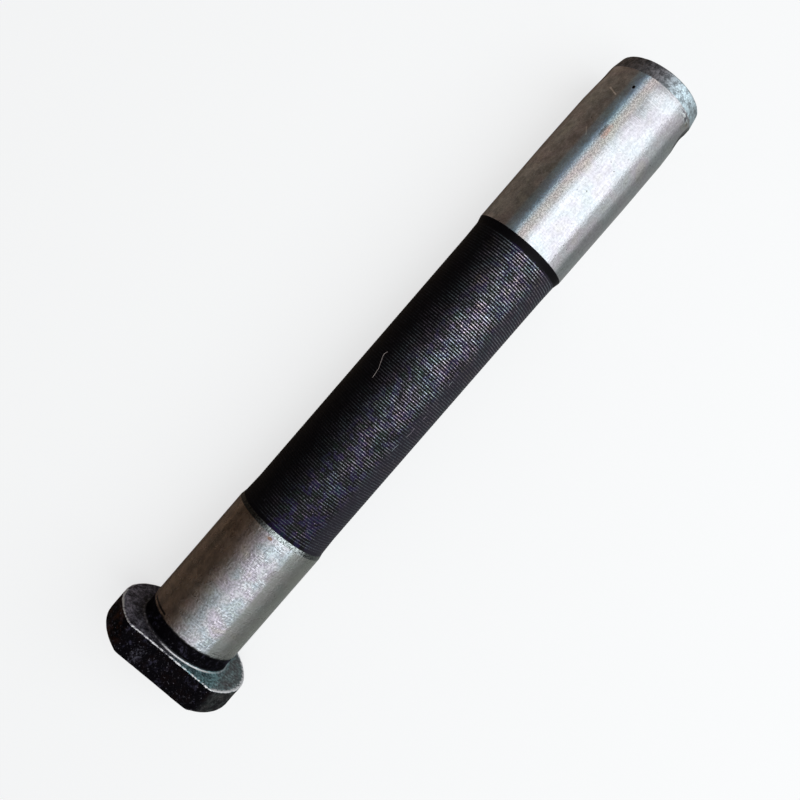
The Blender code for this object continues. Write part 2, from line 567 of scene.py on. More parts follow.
def dent_head(mesh, dents, wear):
    """Roughen the forged skin and knock the arrises, always inwards."""
    for vertex in mesh.vertices:
        place = vertex.co.copy()
        on_shoulder = place.x > -NEAR / 2
        if on_shoulder and arris_distance(place) > SHOULDER_ARRIS * 1.5:
            continue
        to_middle = -(place.x + HEAD_THICKNESS / 2)
        inwards = Vector((to_middle * DENT_LEAN, -place.y, -place.z)).normalized()
        on_flat = abs(place.z) > FLAT_TO_AXIS - NEAR
        share = FLAT_SHARE if on_flat else ROUND_SHARE
        broad = unevenness(place, BROAD_DENTS)
        fine = unevenness(place, FINE_DENTS, (3.0, 1.0, 7.0))
        depth = dents * share * broad + dents * FINE_SHARE * fine
        near_arris = max(0.0, 1.0 - arris_distance(place) / KNOCK_REACH)
        knock = max(0.0, noise.noise(place * KNOCKS + Vector((5.0, 0.0, 2.0))))
        vertex.co = place + inwards * (depth + wear * KNOCK_GAIN * near_arris * knock)


def skew_tail(mesh):
    """The bar was cropped a little out of square, so the lead-in and the end face lean."""
    lean = math.tan(TAIL_SKEW)
    for vertex in mesh.vertices:
        if vertex.co.x > LEAD_IN_START - WELD:
            vertex.co.x -= lean * vertex.co.y


def batter_lead_in(mesh):
    """Hammer marks and a ragged start on the cropped lead-in."""
    for vertex in mesh.vertices:
        place = vertex.co.copy()
        station = place.x + math.tan(TAIL_SKEW) * place.y
        radius = math.hypot(place.y, place.z)
        if station < LEAD_IN_START - WELD or radius < TAIL_END_RADIUS - BLOWS_REACH:
            continue
        inwards = Vector((0.0, -place.y, -place.z)).normalized()
        broad = unevenness(place, BROAD_BLOWS, (2.0, 8.0, 4.0))
        fine = unevenness(place, FINE_BLOWS)
        vertex.co = place + inwards * MM * (BROAD_BLOW_DEPTH * broad + FINE_BLOW_DEPTH * fine)


def mark_crests(obj, depth):
    """Keep the ridges' crests crisp, with smooth grooves between them."""
    edit(obj)
    bpy.ops.mesh.select_mode(type="EDGE")
    bpy.ops.mesh.select_all(action="DESELECT")
    body = bmesh.from_edit_mesh(obj.data)
    for edge in body.edges:
        first, second = edge.verts[0].co, edge.verts[1].co
        centre = (first + second) / 2
        lengthwise = abs(first.x - second.x) > NEAR
        if lengthwise or not RIDGES_START < centre.x < RIDGES_END:
            continue
        radius = math.hypot(centre.y, centre.z)
        edge.select_set(radius > plain_radius(centre.x) + 0.1 * depth)
    bmesh.update_edit_mesh(obj.data)
    bpy.ops.mesh.mark_sharp()
    bpy.ops.mesh.select_mode(type="VERT")
    leave_edit()


def cut_with(obj, cutter):
    """Take one object's volume out of another, and remove the cutter."""
    select_alone(obj)
    cut = obj.modifiers.new("cut", "BOOLEAN")
    cut.operation = "DIFFERENCE"
    cut.solver = "EXACT"
    cut.object = cutter
    bpy.ops.object.modifier_apply(modifier=cut.name)
    bpy.data.objects.remove(cutter)


def hole_cutter():
    """The volume of the cross hole."""
    deselect_all()
    bpy.ops.mesh.primitive_cylinder_add(
        vertices=HOLE_STEPS,
        radius=HOLE_RADIUS,
        depth=3 * LAND_RADIUS,
        location=(HOLE_STATION, 0.0, 0.0),
        rotation=(math.pi / 2 - HOLE_TURN, 0.0, 0.0),
    )
    return bpy.context.object


def pit_cutter():
    """The volume of the small pit."""
    deselect_all()
    lifted = TAIL_BAND_RADIUS + PIT_LIFT
    bpy.ops.mesh.primitive_uv_sphere_add(
        segments=14,
        ring_count=8,
        radius=1.0,
        location=Vector((PIT_STATION, 0.0, 0.0)) + lifted * outwards(PIT_ANGLE),
        rotation=(-PIT_ANGLE, 0.0, 0.0),
        scale=PIT_SIZE,
    )
    return bpy.context.object


def close_and_turn_out(obj):
    """Weld the head to the shank, close the helix's ends, and point every face outwards."""
    edit(obj)
    bpy.ops.mesh.select_all(action="SELECT")
    bpy.ops.mesh.remove_doubles(threshold=WELD)
    bpy.ops.mesh.select_all(action="DESELECT")
    bpy.ops.mesh.select_non_manifold(
        extend=False,
        use_wire=False,
        use_boundary=True,
        use_multi_face=False,
        use_non_contiguous=False,
        use_verts=False,
    )
    bpy.ops.mesh.fill_holes(sides=8)
    bpy.ops.mesh.select_all(action="SELECT")
    bpy.ops.mesh.normals_make_consistent(inside=False)
    leave_edit()


def open_edges(mesh):
    """How many edges don't have exactly two faces."""
    body = bmesh.new()
    body.from_mesh(mesh)
    count = sum(1 for edge in body.edges if len(edge.link_faces) != 2)
    body.free()
    return count


def join(objects):
    """Join several objects into the first of them."""
    deselect_all()
    for obj in objects:
        obj.select_set(True)
    bpy.context.view_layer.objects.active = objects[0]
    bpy.ops.object.join()
    return objects[0]


# Finishes, in the order of the pin's materials
FORGED = 0
SHOULDER = 1
HEAD_LAND = 2
TURNED = 3
TAIL_LAND = 4
CROPPED = 5


def in_hole(centre):
    """Whether a face belongs to the wall of the cross hole."""
    away = centre - Vector((HOLE_STATION, 0.0, 0.0))
    return (away - away.dot(HOLE_AXIS) * HOLE_AXIS).length < HOLE_WALL


def in_pit(centre):
    """Whether a face belongs to the small pit."""
    mouth = Vector((PIT_STATION, 0.0, 0.0)) + TAIL_BAND_RADIUS * outwards(PIT_ANGLE)
    sunk = math.hypot(centre.y, centre.z) < TAIL_BAND_RADIUS - PIT_SUNK
    return sunk and (centre - mouth).length < PIT_REACH


def finish_at(centre):
    """Which finish a face has, by its place on the pin."""
    station = centre.x
    if station < -SHOULDER_ARRIS * 0.75:
        return FORGED
    if station < NECK_FILLET * 0.75:
        return SHOULDER
    # The hole's wall and the pit take the black forging finish: painted shade in them.
    if station < NECK_END or in_hole(centre) or in_pit(centre):
        return FORGED
    if station < CHAMFER_SHOWN_TO:
        return HEAD_LAND
    if station < TAIL_LAND_START:
        return TURNED
    if station + math.tan(TAIL_SKEW) * centre.y < LEAD_IN_START:
        return TAIL_LAND
    return CROPPED


# Materials


def new_tree(name):
    """A material with an empty node tree, and that tree."""
    material = bpy.data.materials.new(name)
    material.use_nodes = True
    tree = material.node_tree
    tree.nodes.clear()
    return material, tree


def add(tree, kind, place, values=None, **settings):
    """A node of one kind, at a place in the editor, with its settings and its sockets' values."""
    node = tree.nodes.new(kind)
    node.location = place
    for name, value in settings.items():
        setattr(node, name, value)
    for socket, value in (values or {}).items():
        if isinstance(value, bpy.types.NodeSocket):
            tree.links.new(value, node.inputs[socket])
        else:
            node.inputs[socket].default_value = value
    return node


def maths(tree, place, operation, *terms):
    """A Math node's result."""
    node = add(tree, "ShaderNodeMath", place, dict(enumerate(terms)), operation=operation)
    return node.outputs[0]


def product(tree, place, first, *others):
    """Several values multiplied, in a row of Math nodes."""
    for step, other in enumerate(others):
        first = maths(tree, (place[0] + 150 * step, place[1]), "MULTIPLY", first, other)
    return first


def ramp(tree, place, value, low, high, to_low=0.0, to_high=1.0):
    """A value's range mapped smoothly to another range."""
    values = {"Value": value, "From Min": low, "From Max": high}
    values.update({"To Min": to_low, "To Max": to_high})
    node = add(tree, "ShaderNodeMapRange", place, values, interpolation_type="SMOOTHSTEP")
    return node.outputs["Result"]


def band(tree, place, value, start, full, ebb, end):
    """A value's share in one range of it: 0, a smooth rise to 1, and a smooth fall back to 0."""
    rise = ramp(tree, place, value, start, full)
    fall = ramp(tree, (place[0], place[1] - 150), value, end, ebb)
    return maths(tree, (place[0] + 200, place[1] - 50), "MULTIPLY", rise, fall)


def blend(tree, place, factor, first, second, blend_type="MIX"):
    """Two colours mixed, or multiplied."""
    node = add(
        tree,
        "ShaderNodeMix",
        place,
        {MIX_FACTOR: factor, MIX_FIRST: first, MIX_SECOND: second},
        data_type="RGBA",
        blend_type=blend_type,
        clamp_factor=True,
    )
    return node.outputs[MIX_RESULT]


def toned(tree, place, colour, gain):
    """A colour multiplied by a value or by another colour."""
    return blend(tree, place, 1.0, colour, gain, "MULTIPLY")


def vector_maths(tree, place, operation, *terms):
    """A Vector Math node's vector."""
    node = add(tree, "ShaderNodeVectorMath", place, dict(enumerate(terms)), operation=operation)
    return node.outputs["Vector"]


def vector_value(tree, place, operation, *terms):
    """A Vector Math node's value."""
    node = add(tree, "ShaderNodeVectorMath", place, dict(enumerate(terms)), operation=operation)
    return node.outputs["Value"]


def cloud(tree, place, vector, scale, detail=2.0, roughness=0.5, distortion=0.0):
    """A noise texture's value."""
    values = {
        "Vector": vector,
        "Scale": scale,
        "Detail": detail,
        "Roughness": roughness,
        "Distortion": distortion,
    }
    return add(tree, "ShaderNodeTexNoise", place, values).outputs[0]


def stretch(tree, place, vector, scale):
    """A vector scaled along each axis."""
    node = add(tree, "ShaderNodeMapping", place, {"Vector": vector, "Scale": scale})
    return node.outputs[0]


def hues(tree, place, value, stops):
    """A colour ramp's colour; stops are (position, colour) pairs in rising order."""
    node = add(tree, "ShaderNodeValToRGB", place, {"Fac": value})
    elements = node.color_ramp.elements
    first, *middle, last = stops
    for element, (position, colour) in ((elements[0], first), (elements[1], last)):
        element.position = position
        element.color = colour
    for position, colour in middle:
        element = elements.new(position)
        element.color = colour
    return node.outputs[0]


def new_group(name, inputs, outputs):
    """A shader node group with named sockets, and its two ends."""
    tree = bpy.data.node_groups.new(name, "ShaderNodeTree")
    kinds = {"value": "NodeSocketFloat", "colour": "NodeSocketColor", "vector": "NodeSocketVector"}
    for socket, kind, default in inputs:
        made = tree.interface.new_socket(socket, in_out="INPUT", socket_type=kinds[kind])
        if default is not None:
            made.default_value = default
    for socket, kind in outputs:
        tree.interface.new_socket(socket, in_out="OUTPUT", socket_type=kinds[kind])
    start = tree.nodes.new("NodeGroupInput")
    start.location = (-900, 0)
    end = tree.nodes.new("NodeGroupOutput")
    end.location = (900, 0)
    return tree, start, end


def group_node(tree, group, place, values):
    """A group's node in another tree, with its sockets' values."""
    return add(tree, "ShaderNodeGroup", place, values, node_tree=group)


def pin_place_group():
    """Where a point is on the pin: millimetres about its own axis, station, turn and side.

    Turn runs once around from -0.5 to 0.5, and jumps underneath. Side equals Turn on the upper
    half and comes back to 0 underneath, so that nothing laid on by it has an edge there.
    """
    inputs = [("Object", "vector", None)]
    outputs = [("Place", "vector"), ("Station", "value"), ("Turn", "value"), ("Side", "value")]
    tree, start, end = new_group("Place on the pin", inputs, outputs)
    back = LYING.inverted()
    mapping = add(
        tree,
        "ShaderNodeMapping",
        (-700, 0),
        {
            "Vector": start.outputs["Object"],
            "Location": back.translation / MM,
            "Rotation": back.to_euler(),
            "Scale": (1 / MM, 1 / MM, 1 / MM),
        },
        vector_type="POINT",
    )
    split = add(tree, "ShaderNodeSeparateXYZ", (-450, 0), {0: mapping.outputs[0]})
    turn = maths(tree, (-200, -150), "ARCTAN2", split.outputs["Y"], split.outputs["Z"])
    turn = maths(tree, (0, -150), "DIVIDE", turn, math.tau)
    flat_height = maths(tree, (-200, -350), "ABSOLUTE", split.outputs["Z"])
    side = maths(tree, (0, -350), "ARCTAN2", split.outputs["Y"], flat_height)
    side = maths(tree, (200, -350), "DIVIDE", side, math.tau)
    tree.links.new(mapping.outputs[0], end.inputs["Place"])
    tree.links.new(split.outputs["X"], end.inputs["Station"])
    tree.links.new(turn, end.inputs["Turn"])
    tree.links.new(side, end.inputs["Side"])
    return tree


def grain_group():
    """Fine speckle at two sizes, as a mask and a height."""
    inputs = [("Place", "vector", None), ("Grain size", "value", 0.5), ("Patch size", "value", 4.0)]
    outputs = [("Speckle", "value"), ("Patches", "value"), ("Height", "value")]
    tree, start, end = new_group("Steel grain", inputs, outputs)
    fine_scale = maths(tree, (-650, 150), "DIVIDE", 1.0, start.outputs["Grain size"])
    broad_scale = maths(tree, (-650, -150), "DIVIDE", 1.0, start.outputs["Patch size"])
    fine = cloud(tree, (-400, 150), start.outputs["Place"], fine_scale, 3.0, 0.65)
    broad = cloud(tree, (-400, -150), start.outputs["Place"], broad_scale, 3.0, 0.6)
    speckle = ramp(tree, (-150, 150), fine, 0.35, 0.65)
    patches = ramp(tree, (-150, -150), broad, 0.35, 0.65)
    height = maths(tree, (150, 0), "MULTIPLY_ADD", broad, 0.5, fine)
    tree.links.new(speckle, end.inputs["Speckle"])
    tree.links.new(patches, end.inputs["Patches"])
    tree.links.new(height, end.inputs["Height"])
    return tree


def turning_marks_group():
    """Fine scratches that run around the pin, broken up along their length."""
    inputs = [
        ("Place", "vector", None),
        ("Mark width", "value", 0.3),
        ("Mark length", "value", 8.0),
    ]
    outputs = [("Marks", "value"), ("Height", "value")]
    tree, start, end = new_group("Turning marks", inputs, outputs)
    across = maths(tree, (-700, 150), "DIVIDE", 1.0, start.outputs["Mark width"])
    along = maths(tree, (-700, -50), "DIVIDE", 1.0, start.outputs["Mark length"])
    scale = add(tree, "ShaderNodeCombineXYZ", (-500, 50), {"X": across, "Y": along, "Z": along})
    place = start.outputs["Place"]
    scaled = vector_maths(tree, (-300, 0), "MULTIPLY", place, scale.outputs[0])
    streaks = cloud(tree, (-100, 0), scaled, 1.0, 4.0, 0.6)
    marks = ramp(tree, (150, 100), streaks, 0.38, 0.68)
    tree.links.new(marks, end.inputs["Marks"])
    tree.links.new(streaks, end.inputs["Height"])
    return tree


def oil_tint_group():
    """A colour with the faint violet, blue and green of an oil film over it."""
    inputs = [
        ("Place", "vector", None),
        ("Colour", "colour", (0.5, 0.5, 0.5, 1.0)),
        ("Film size", "value", 6.0),
        ("Film", "value", 0.3),
    ]
    stops = (
        (0.32, (0.78, 0.95, 0.86, 1.0)),
        (0.42, (0.78, 0.92, 1.0, 1.0)),
        (0.50, (0.97, 0.98, 1.0, 1.0)),
        (0.58, (0.94, 0.82, 0.98, 1.0)),
        (0.70, (0.97, 0.88, 0.77, 1.0)),
    )
    tree, start, end = new_group("Oil film tint", inputs, [("Colour", "colour")])
    place, colour, film_size, film = (start.outputs[name] for name, _, _ in inputs)
    scale = maths(tree, (-650, 0), "DIVIDE", 1.0, film_size)
    thickness = cloud(tree, (-400, 0), place, scale, 2.5, 0.55)
    hue = hues(tree, (-150, 0), thickness, stops)
    tinted = blend(tree, (200, 0), film, colour, hue, "MULTIPLY")
    tree.links.new(tinted, end.inputs["Colour"])
    return tree


def spot_group():
    """A mask for one round or long spot with a ragged edge, by its centre in millimetres."""
    inputs = [
        ("Place", "vector", None),
        ("Centre", "vector", (0.0, 0.0, 0.0)),
        ("Size", "vector", (1.0, 1.0, 1.0)),
        ("Raggedness", "value", 0.6),
    ]
    tree, start, end = new_group("Ragged spot", inputs, [("Mask", "value")])
    place, centre, size, raggedness = (start.outputs[name] for name, _, _ in inputs)
    away = vector_maths(tree, (-650, 100), "SUBTRACT", place, centre)
    scaled = vector_maths(tree, (-450, 100), "DIVIDE", away, size)
    distance = vector_value(tree, (-250, 100), "LENGTH", scaled)
    ragged = cloud(tree, (-450, -150), place, 2.0, 5.0, 0.75)
    ragged = maths(tree, (-250, -150), "SUBTRACT", ragged, 0.5)
    ragged = maths(tree, (-50, -150), "MULTIPLY", ragged, raggedness)
    edge = maths(tree, (100, 0), "ADD", distance, ragged)
    mask = ramp(tree, (300, 0), edge, 1.15, 0.75)
    tree.links.new(mask, end.inputs["Mask"])
    return tree


def worn_arris_group():
    """A mask for bare steel, uneven in width, along the head's arrises at the shoulder."""
    inputs = [("Place", "vector", None), ("Width", "value", 0.5)]
    tree, start, end = new_group("Worn arris", inputs, [("Mask", "value")])
    place = start.outputs["Place"]
    split = add(tree, "ShaderNodeSeparateXYZ", (-700, 200), {0: place})
    across = split.outputs["Y"]
    upwards = split.outputs["Z"]
    to_flat = maths(tree, (-500, 250), "ABSOLUTE", upwards)
    to_flat = maths(tree, (-350, 250), "SUBTRACT", to_flat, FLAT_TO_AXIS / MM)
    to_flat = maths(tree, (-200, 250), "ABSOLUTE", to_flat)
    radius = maths(tree, (-500, 50), "MULTIPLY", across, across)
    radius = maths(tree, (-350, 50), "MULTIPLY_ADD", upwards, upwards, radius)
    radius = maths(tree, (-200, 50), "SQRT", radius)
    to_rim = maths(tree, (-50, 50), "SUBTRACT", radius, HEAD_RADIUS / MM)
    to_rim = maths(tree, (100, 50), "ABSOLUTE", to_rim)
    low_side = ramp(tree, (-50, 350), across, 12.0, -12.0, 1.05, 0.38)
    far_side = ramp(tree, (-50, 550), across, 19.0, 24.0, 1.0, 0.55)
    to_rim = product(tree, (150, 350), to_rim, low_side, far_side)
    nearest = maths(tree, (250, 150), "MINIMUM", to_flat, to_rim)
    nearest = maths(tree, (400, 150), "POWER", nearest, 2.0)
    station = maths(tree, (250, -50), "POWER", split.outputs["X"], 2.0)
    distance = maths(tree, (550, 100), "ADD", nearest, station)
    distance = maths(tree, (700, 100), "SQRT", distance)
    uneven = cloud(tree, (-500, -250), place, 0.75, 4.0, 0.75)
    uneven = ramp(tree, (-300, -250), uneven, 0.30, 0.75, 0.45, 1.9)
    width = maths(tree, (-100, -250), "MULTIPLY", uneven, start.outputs["Width"])
    over = maths(tree, (800, -50), "DIVIDE", distance, width)
    mask = ramp(tree, (950, -50), over, 1.1, 0.7)
    end.location = (1200, 0)
    tree.links.new(mask, end.inputs["Mask"])
    return tree


def scratch_group():
    """A mask for one straight scratch, between two points given as station and arc length."""
    inputs = [
        ("Place", "vector", None),
        ("Turn", "value", 0.0),
        ("Start", "vector", (0.0, 0.0, 0.0)),
        ("End", "vector", (1.0, 0.0, 0.0)),
        ("Width", "value", 0.2),
    ]
    tree, start, end = new_group("Scratch", inputs, [("Mask", "value")])
    place, turn, first, last, width = (start.outputs[name] for name, _, _ in inputs)
    station = add(tree, "ShaderNodeSeparateXYZ", (-750, 200), {0: place}).outputs["X"]
    around = maths(tree, (-750, 0), "MULTIPLY", turn, math.tau * LAND_RADIUS / MM)
    unrolled = add(tree, "ShaderNodeCombineXYZ", (-550, 100), {"X": station, "Y": around})
    away = vector_maths(tree, (-350, 200), "SUBTRACT", unrolled.outputs[0], first)
    length = vector_maths(tree, (-350, 0), "SUBTRACT", last, first)
    over = vector_value(tree, (-150, 200), "DOT_PRODUCT", away, length)
    whole = vector_value(tree, (-150, 0), "DOT_PRODUCT", length, length)
    part = maths(tree, (50, 100), "DIVIDE", over, whole)
    part = maths(tree, (200, 100), "MAXIMUM", part, 0.0)
    part = maths(tree, (350, 100), "MINIMUM", part, 1.0)
    reached = vector_maths(tree, (500, 0), "SCALE", length)
    tree.links.new(part, reached.node.inputs["Scale"])
    off = vector_maths(tree, (650, 100), "SUBTRACT", away, reached)
    distance = vector_value(tree, (800, 100), "LENGTH", off)
    distance = maths(tree, (950, 100), "DIVIDE", distance, width)
    mask = ramp(tree, (1100, 100), distance, 1.0, 0.4)
    end.location = (1300, 0)
    tree.links.new(mask, end.inputs["Mask"])
    return tree


def finishing(tree, colour, metallic, roughness, height, bump_strength, bump_depth, specular):
    """One finish's shader with its bump, shown by the material's output."""
    bump = add(
        tree,
        "ShaderNodeBump",
        (500, -300),
        {"Strength": bump_strength, "Distance": bump_depth, "Height": height},
    )
    shader = add(
        tree,
        "ShaderNodeBsdfPrincipled",
        (750, 0),
        {
            "Base Color": colour,
            "Metallic": metallic,
            "Roughness": roughness,
            "Specular IOR Level": specular,
            "Normal": bump.outputs[0],
        },
    )
    add(tree, "ShaderNodeOutputMaterial", (1050, 0), {"Surface": shader.outputs[0]})


def matt(tree, place, colour):
    """A plain shader without gloss."""
    values = {"Base Color": colour, "Roughness": 0.9, "Specular IOR Level": 0.0}
    return add(tree, "ShaderNodeBsdfPrincipled", place, values).outputs[0]


def object_place(tree, groups):
    """The pin's own coordinates, in a node named place, where the marks look for it."""
    source = add(tree, "ShaderNodeTexCoord", (-1500, 0))
    values = {"Object": source.outputs["Object"]}
    where = group_node(tree, groups["place"], (-1300, 0), values)
    where.name = "place"
    return where


def steel_grain(tree, groups, place, grain_size, patch_size):
    """The grain group's node, with its sizes in millimetres."""
    values = {"Place": place, "Grain size": grain_size, "Patch size": patch_size}
    return group_node(tree, groups["grain"], (-1000, 250), values)


def turning_marks(tree, groups, at, place, width, length):
    """The turning marks group's node, with its sizes in millimetres."""
    values = {"Place": place, "Mark width": width, "Mark length": length}
    return group_node(tree, groups["marks"], at, values)


def oil_tint(tree, groups, at, place, colour, film_size, film):
    """A colour under an oil film."""
    values = {"Place": place, "Colour": colour, "Film size": film_size, "Film": film}
    return group_node(tree, groups["tint"], at, values).outputs["Colour"]


def worn_arris(tree, groups, at, place, width):
    """The mask of the head's worn arrises."""
    values = {"Place": place, "Width": width}
    return group_node(tree, groups["arris"], at, values).outputs["Mask"]


def spot(tree, groups, at, centre, size, raggedness, strength):
    """One ragged spot's mask; centre is (station in mm, angle in degrees, radius in mm)."""
    station, angle, radius = centre
    turn = math.radians(angle)
    middle = (station, radius * math.sin(turn), radius * math.cos(turn))
    values = {"Centre": middle, "Size": size, "Raggedness": raggedness}
    values["Place"] = tree.nodes["place"].outputs["Place"]
    mask = group_node(tree, groups["spot"], at, values).outputs["Mask"]
    return maths(tree, (at[0] + 200, at[1]), "MULTIPLY", mask, strength)


def scratch(tree, groups, at, start, end, width):
    """One scratch's mask; its ends are (station in mm, angle in degrees)."""
    radius = LAND_RADIUS / MM
    values = {
        "Place": tree.nodes["place"].outputs["Place"],
        "Turn": tree.nodes["place"].outputs["Turn"],
        "Start": (start[0], math.radians(start[1]) * radius, 0.0),
        "End": (end[0], math.radians(end[1]) * radius, 0.0),
        "Width": width,
    }
    return group_node(tree, groups["scratch"], at, values).outputs["Mask"]


def forged_scale(colours, groups):
    """Black forging scale, with grey flecks, a violet haze, a pale smear and bare worn arrises.

    The head has a brown bloom too, on its far curved side, and grey dust on its near one.
    """
    violet = (0.034, 0.031, 0.050, 1.0)
    fleck_grey = (0.15, 0.14, 0.165, 1.0)
    smear_grey = (0.075, 0.070, 0.090, 1.0)
    dust_black = (0.009, 0.009, 0.010, 1.0)
    dust_green = (0.008, 0.034, 0.030, 1.0)
    dust_red = (0.070, 0.048, 0.048, 1.0)
    dust_grey = (0.15, 0.15, 0.15, 1.0)
    worn_steel = (0.93, 0.94, 0.95, 1.0)

    material, tree = new_tree("forged_scale")
    where = object_place(tree, groups)
    place = where.outputs["Place"]
    across = add(tree, "ShaderNodeSeparateXYZ", (-1200, -1100), {0: place}).outputs["Y"]
    on_head = ramp(tree, (-1000, -1300), where.outputs["Station"], 1.0, -0.3)
    grain = steel_grain(tree, groups, place, 0.6, 5.0)

    haze_noise = cloud(tree, (-1000, -900), place, 0.32, 6.0, 0.75, 0.3)
    haze = ramp(tree, (-750, -900), haze_noise, 0.54, 0.70)
    colour = blend(tree, (-650, 100), haze, with_alpha(colours.forging_scale), violet)
    flecks = cloud(tree, (-1000, -400), place, 1.15, 5.0, 0.8)
    flecks = ramp(tree, (-750, -400), flecks, 0.59, 0.69)
    head_share = maths(tree, (-750, -1300), "MULTIPLY_ADD", on_head, 0.65, 0.35)
    flecks = maths(tree, (-600, -400), "MULTIPLY", flecks, head_share)
    colour = blend(tree, (-500, 100), flecks, colour, fleck_grey)

    bloom_noise = cloud(tree, (-1000, -650), place, 0.28, 4.0, 0.65)
    bloom = ramp(tree, (-750, -650), bloom_noise, 0.46, 0.66)
    far_side = ramp(tree, (-1000, -1100), across, 15.8, 19.5, 0.012, 0.12)
    bloom = product(tree, (-500, -650), bloom, far_side, on_head)
    colour = blend(tree, (-250, 100), bloom, colour, with_alpha(colours.rust))

    patchy = cloud(tree, (-500, 250), place, 0.75, 4.0, 0.75)
    patchy = ramp(tree, (-300, 250), patchy, 0.46, 0.60, 0.0, 0.8)
    smear = spot(tree, groups, (-500, 400), (-7.0, 23.5, 22.0), (3.4, 1.9, 1.9), 2.6, patchy)
    colour = blend(tree, (-150, 300), smear, colour, smear_grey)

    near_side = ramp(tree, (-500, 600), across, -17.3, -20.1, 0.0, 0.8)
    near_side = maths(tree, (-300, 600), "MULTIPLY", near_side, on_head)
    dust = ramp(tree, (-750, -1500), haze_noise, 0.44, 0.60)
    dust_hue = blend(tree, (-500, 800), bloom_noise, dust_green, dust_red)
    dusty = blend(tree, (-250, 500), dust, dust_black, dust_hue)
    dusty = blend(tree, (-150, 500), flecks, dusty, dust_grey)
    colour = blend(tree, (-50, 300), near_side, colour, dusty)

    worn = worn_arris(tree, groups, (-500, -200), place, 0.34)
    colour = blend(tree, (0, 100), worn, colour, worn_steel)
    roughness = ramp(tree, (-250, -200), grain.outputs["Patches"], 0.0, 1.0, 0.5, 0.68)
    roughness = maths(tree, (0, -200), "MULTIPLY_ADD", worn, -0.25, roughness)
    finishing(tree, colour, worn, roughness, grain.outputs["Height"], 0.9, 0.4 * MM, 0.02)
    return material


def faced_shoulder(colours, groups):
    """The shoulder: dark faced steel, with a painted teal reflection on its near side, painted
    shade towards the neck on its far side, and brown at its near end.

    A painted highlight of bare steel runs along the near part of the fillet, and the arrises are
    worn bare.
    """
    violet_low = (0.030, 0.028, 0.038, 1.0)
    violet_high = (0.20, 0.185, 0.225, 1.0)
    teal_low = (0.060, 0.098, 0.112, 1.0)
    teal_high = (0.21, 0.36, 0.385, 1.0)
    dull_brown = (0.060, 0.044, 0.042, 1.0)
    fleck_grey = (0.46, 0.47, 0.49, 1.0)
    neck_black = (0.004, 0.004, 0.005, 1.0)
    bare = with_alpha(colours.bare_steel)

    material, tree = new_tree("faced_shoulder")
    where = object_place(tree, groups)
    place = where.outputs["Place"]
    station = where.outputs["Station"]
    split = add(tree, "ShaderNodeSeparateXYZ", (-1000, -300), {0: place})
    across = split.outputs["Y"]
    flat = {"Y": across, "Z": split.outputs["Z"]}
    flat_place = add(tree, "ShaderNodeCombineXYZ", (-800, -300), flat).outputs[0]
    radius = vector_value(tree, (-600, -300), "LENGTH", flat_place)
    grain = steel_grain(tree, groups, place, 0.5, 3.2)

    # Painted reflection: the near side is teal and lighter, the far side violet and dark.
    near = ramp(tree, (-750, 350), across, 3.0, -9.0)
    low = blend(tree, (-550, 350), near, violet_low, teal_low)
    high = blend(tree, (-550, 550), near, violet_high, teal_high)
    colour = blend(tree, (-400, 400), grain.outputs["Patches"], low, high)
    rings = cloud(tree, (-400, -300), radius, 2.6, 2.0, 0.6)
    rings = ramp(tree, (-200, -300), rings, 0.35, 0.65, 0.62, 1.3)
    colour = toned(tree, (-250, 100), colour, rings)
    # Painted shade: darker towards the neck on the far side.
    neck_shade = ramp(tree, (-400, -500), radius, 18.0, 24.5, 0.35, 1.1)
    neck_shade = blend(tree, (-250, -500), near, neck_shade, (1.0, 1.0, 1.0, 1.0))
    colour = toned(tree, (-250, 250), colour, neck_shade)
    mottle = cloud(tree, (-700, -700), place, 0.9, 5.0, 0.8)
    mottle = ramp(tree, (-500, -700), mottle, 0.36, 0.64, 0.22, 2.3)
    colour = toned(tree, (-150, 250), colour, mottle)
    brown_end = ramp(tree, (-300, 550), across, -15.5, -20.5, 0.0, 0.75)
    colour = blend(tree, (-100, 400), brown_end, colour, dull_brown)
    flecks = cloud(tree, (-700, -100), place, 0.9, 4.0, 0.8)
    flecks = ramp(tree, (-500, -100), flecks, 0.56, 0.68, 0.0, 0.8)
    colour = blend(tree, (-50, 100), flecks, colour, fleck_grey)

    past_fillet = ramp(tree, (0, -850), station, 0.55, 0.85)
    colour = blend(tree, (50, 100), past_fillet, colour, neck_black)
    # Painted highlight: bare steel along the fillet, on its near side only.
    bare_highlight = band(tree, (-200, -550), station, 0.18, 0.32, 0.46, 0.64)
    highlight_near = ramp(tree, (-200, -950), across, 6.5, 2.0, 0.04, 1.0)
    highlight_low = ramp(tree, (-200, -1150), across, -12.0, -16.0, 1.0, 0.3)
    bare_highlight = product(tree, (150, -650), bare_highlight, highlight_near, highlight_low)
    colour = blend(tree, (150, 100), bare_highlight, colour, bare)
    worn = worn_arris(tree, groups, (-50, -200), place, 0.42)
    colour = blend(tree, (350, 100), worn, colour, bare)

    roughness = maths(tree, (150, -250), "MULTIPLY_ADD", bare_highlight, -0.14, 0.42)
    metal = maths(tree, (350, -400), "MULTIPLY_ADD", past_fillet, -0.65, 0.65)
    shiny = maths(tree, (350, -550), "MULTIPLY_ADD", brown_end, -0.9, 1.0)
    metal = maths(tree, (500, -500), "MULTIPLY", metal, shiny)
    finishing(tree, colour, metal, roughness, grain.outputs["Height"], 0.6, 0.16 * MM, 0.1)
    return material


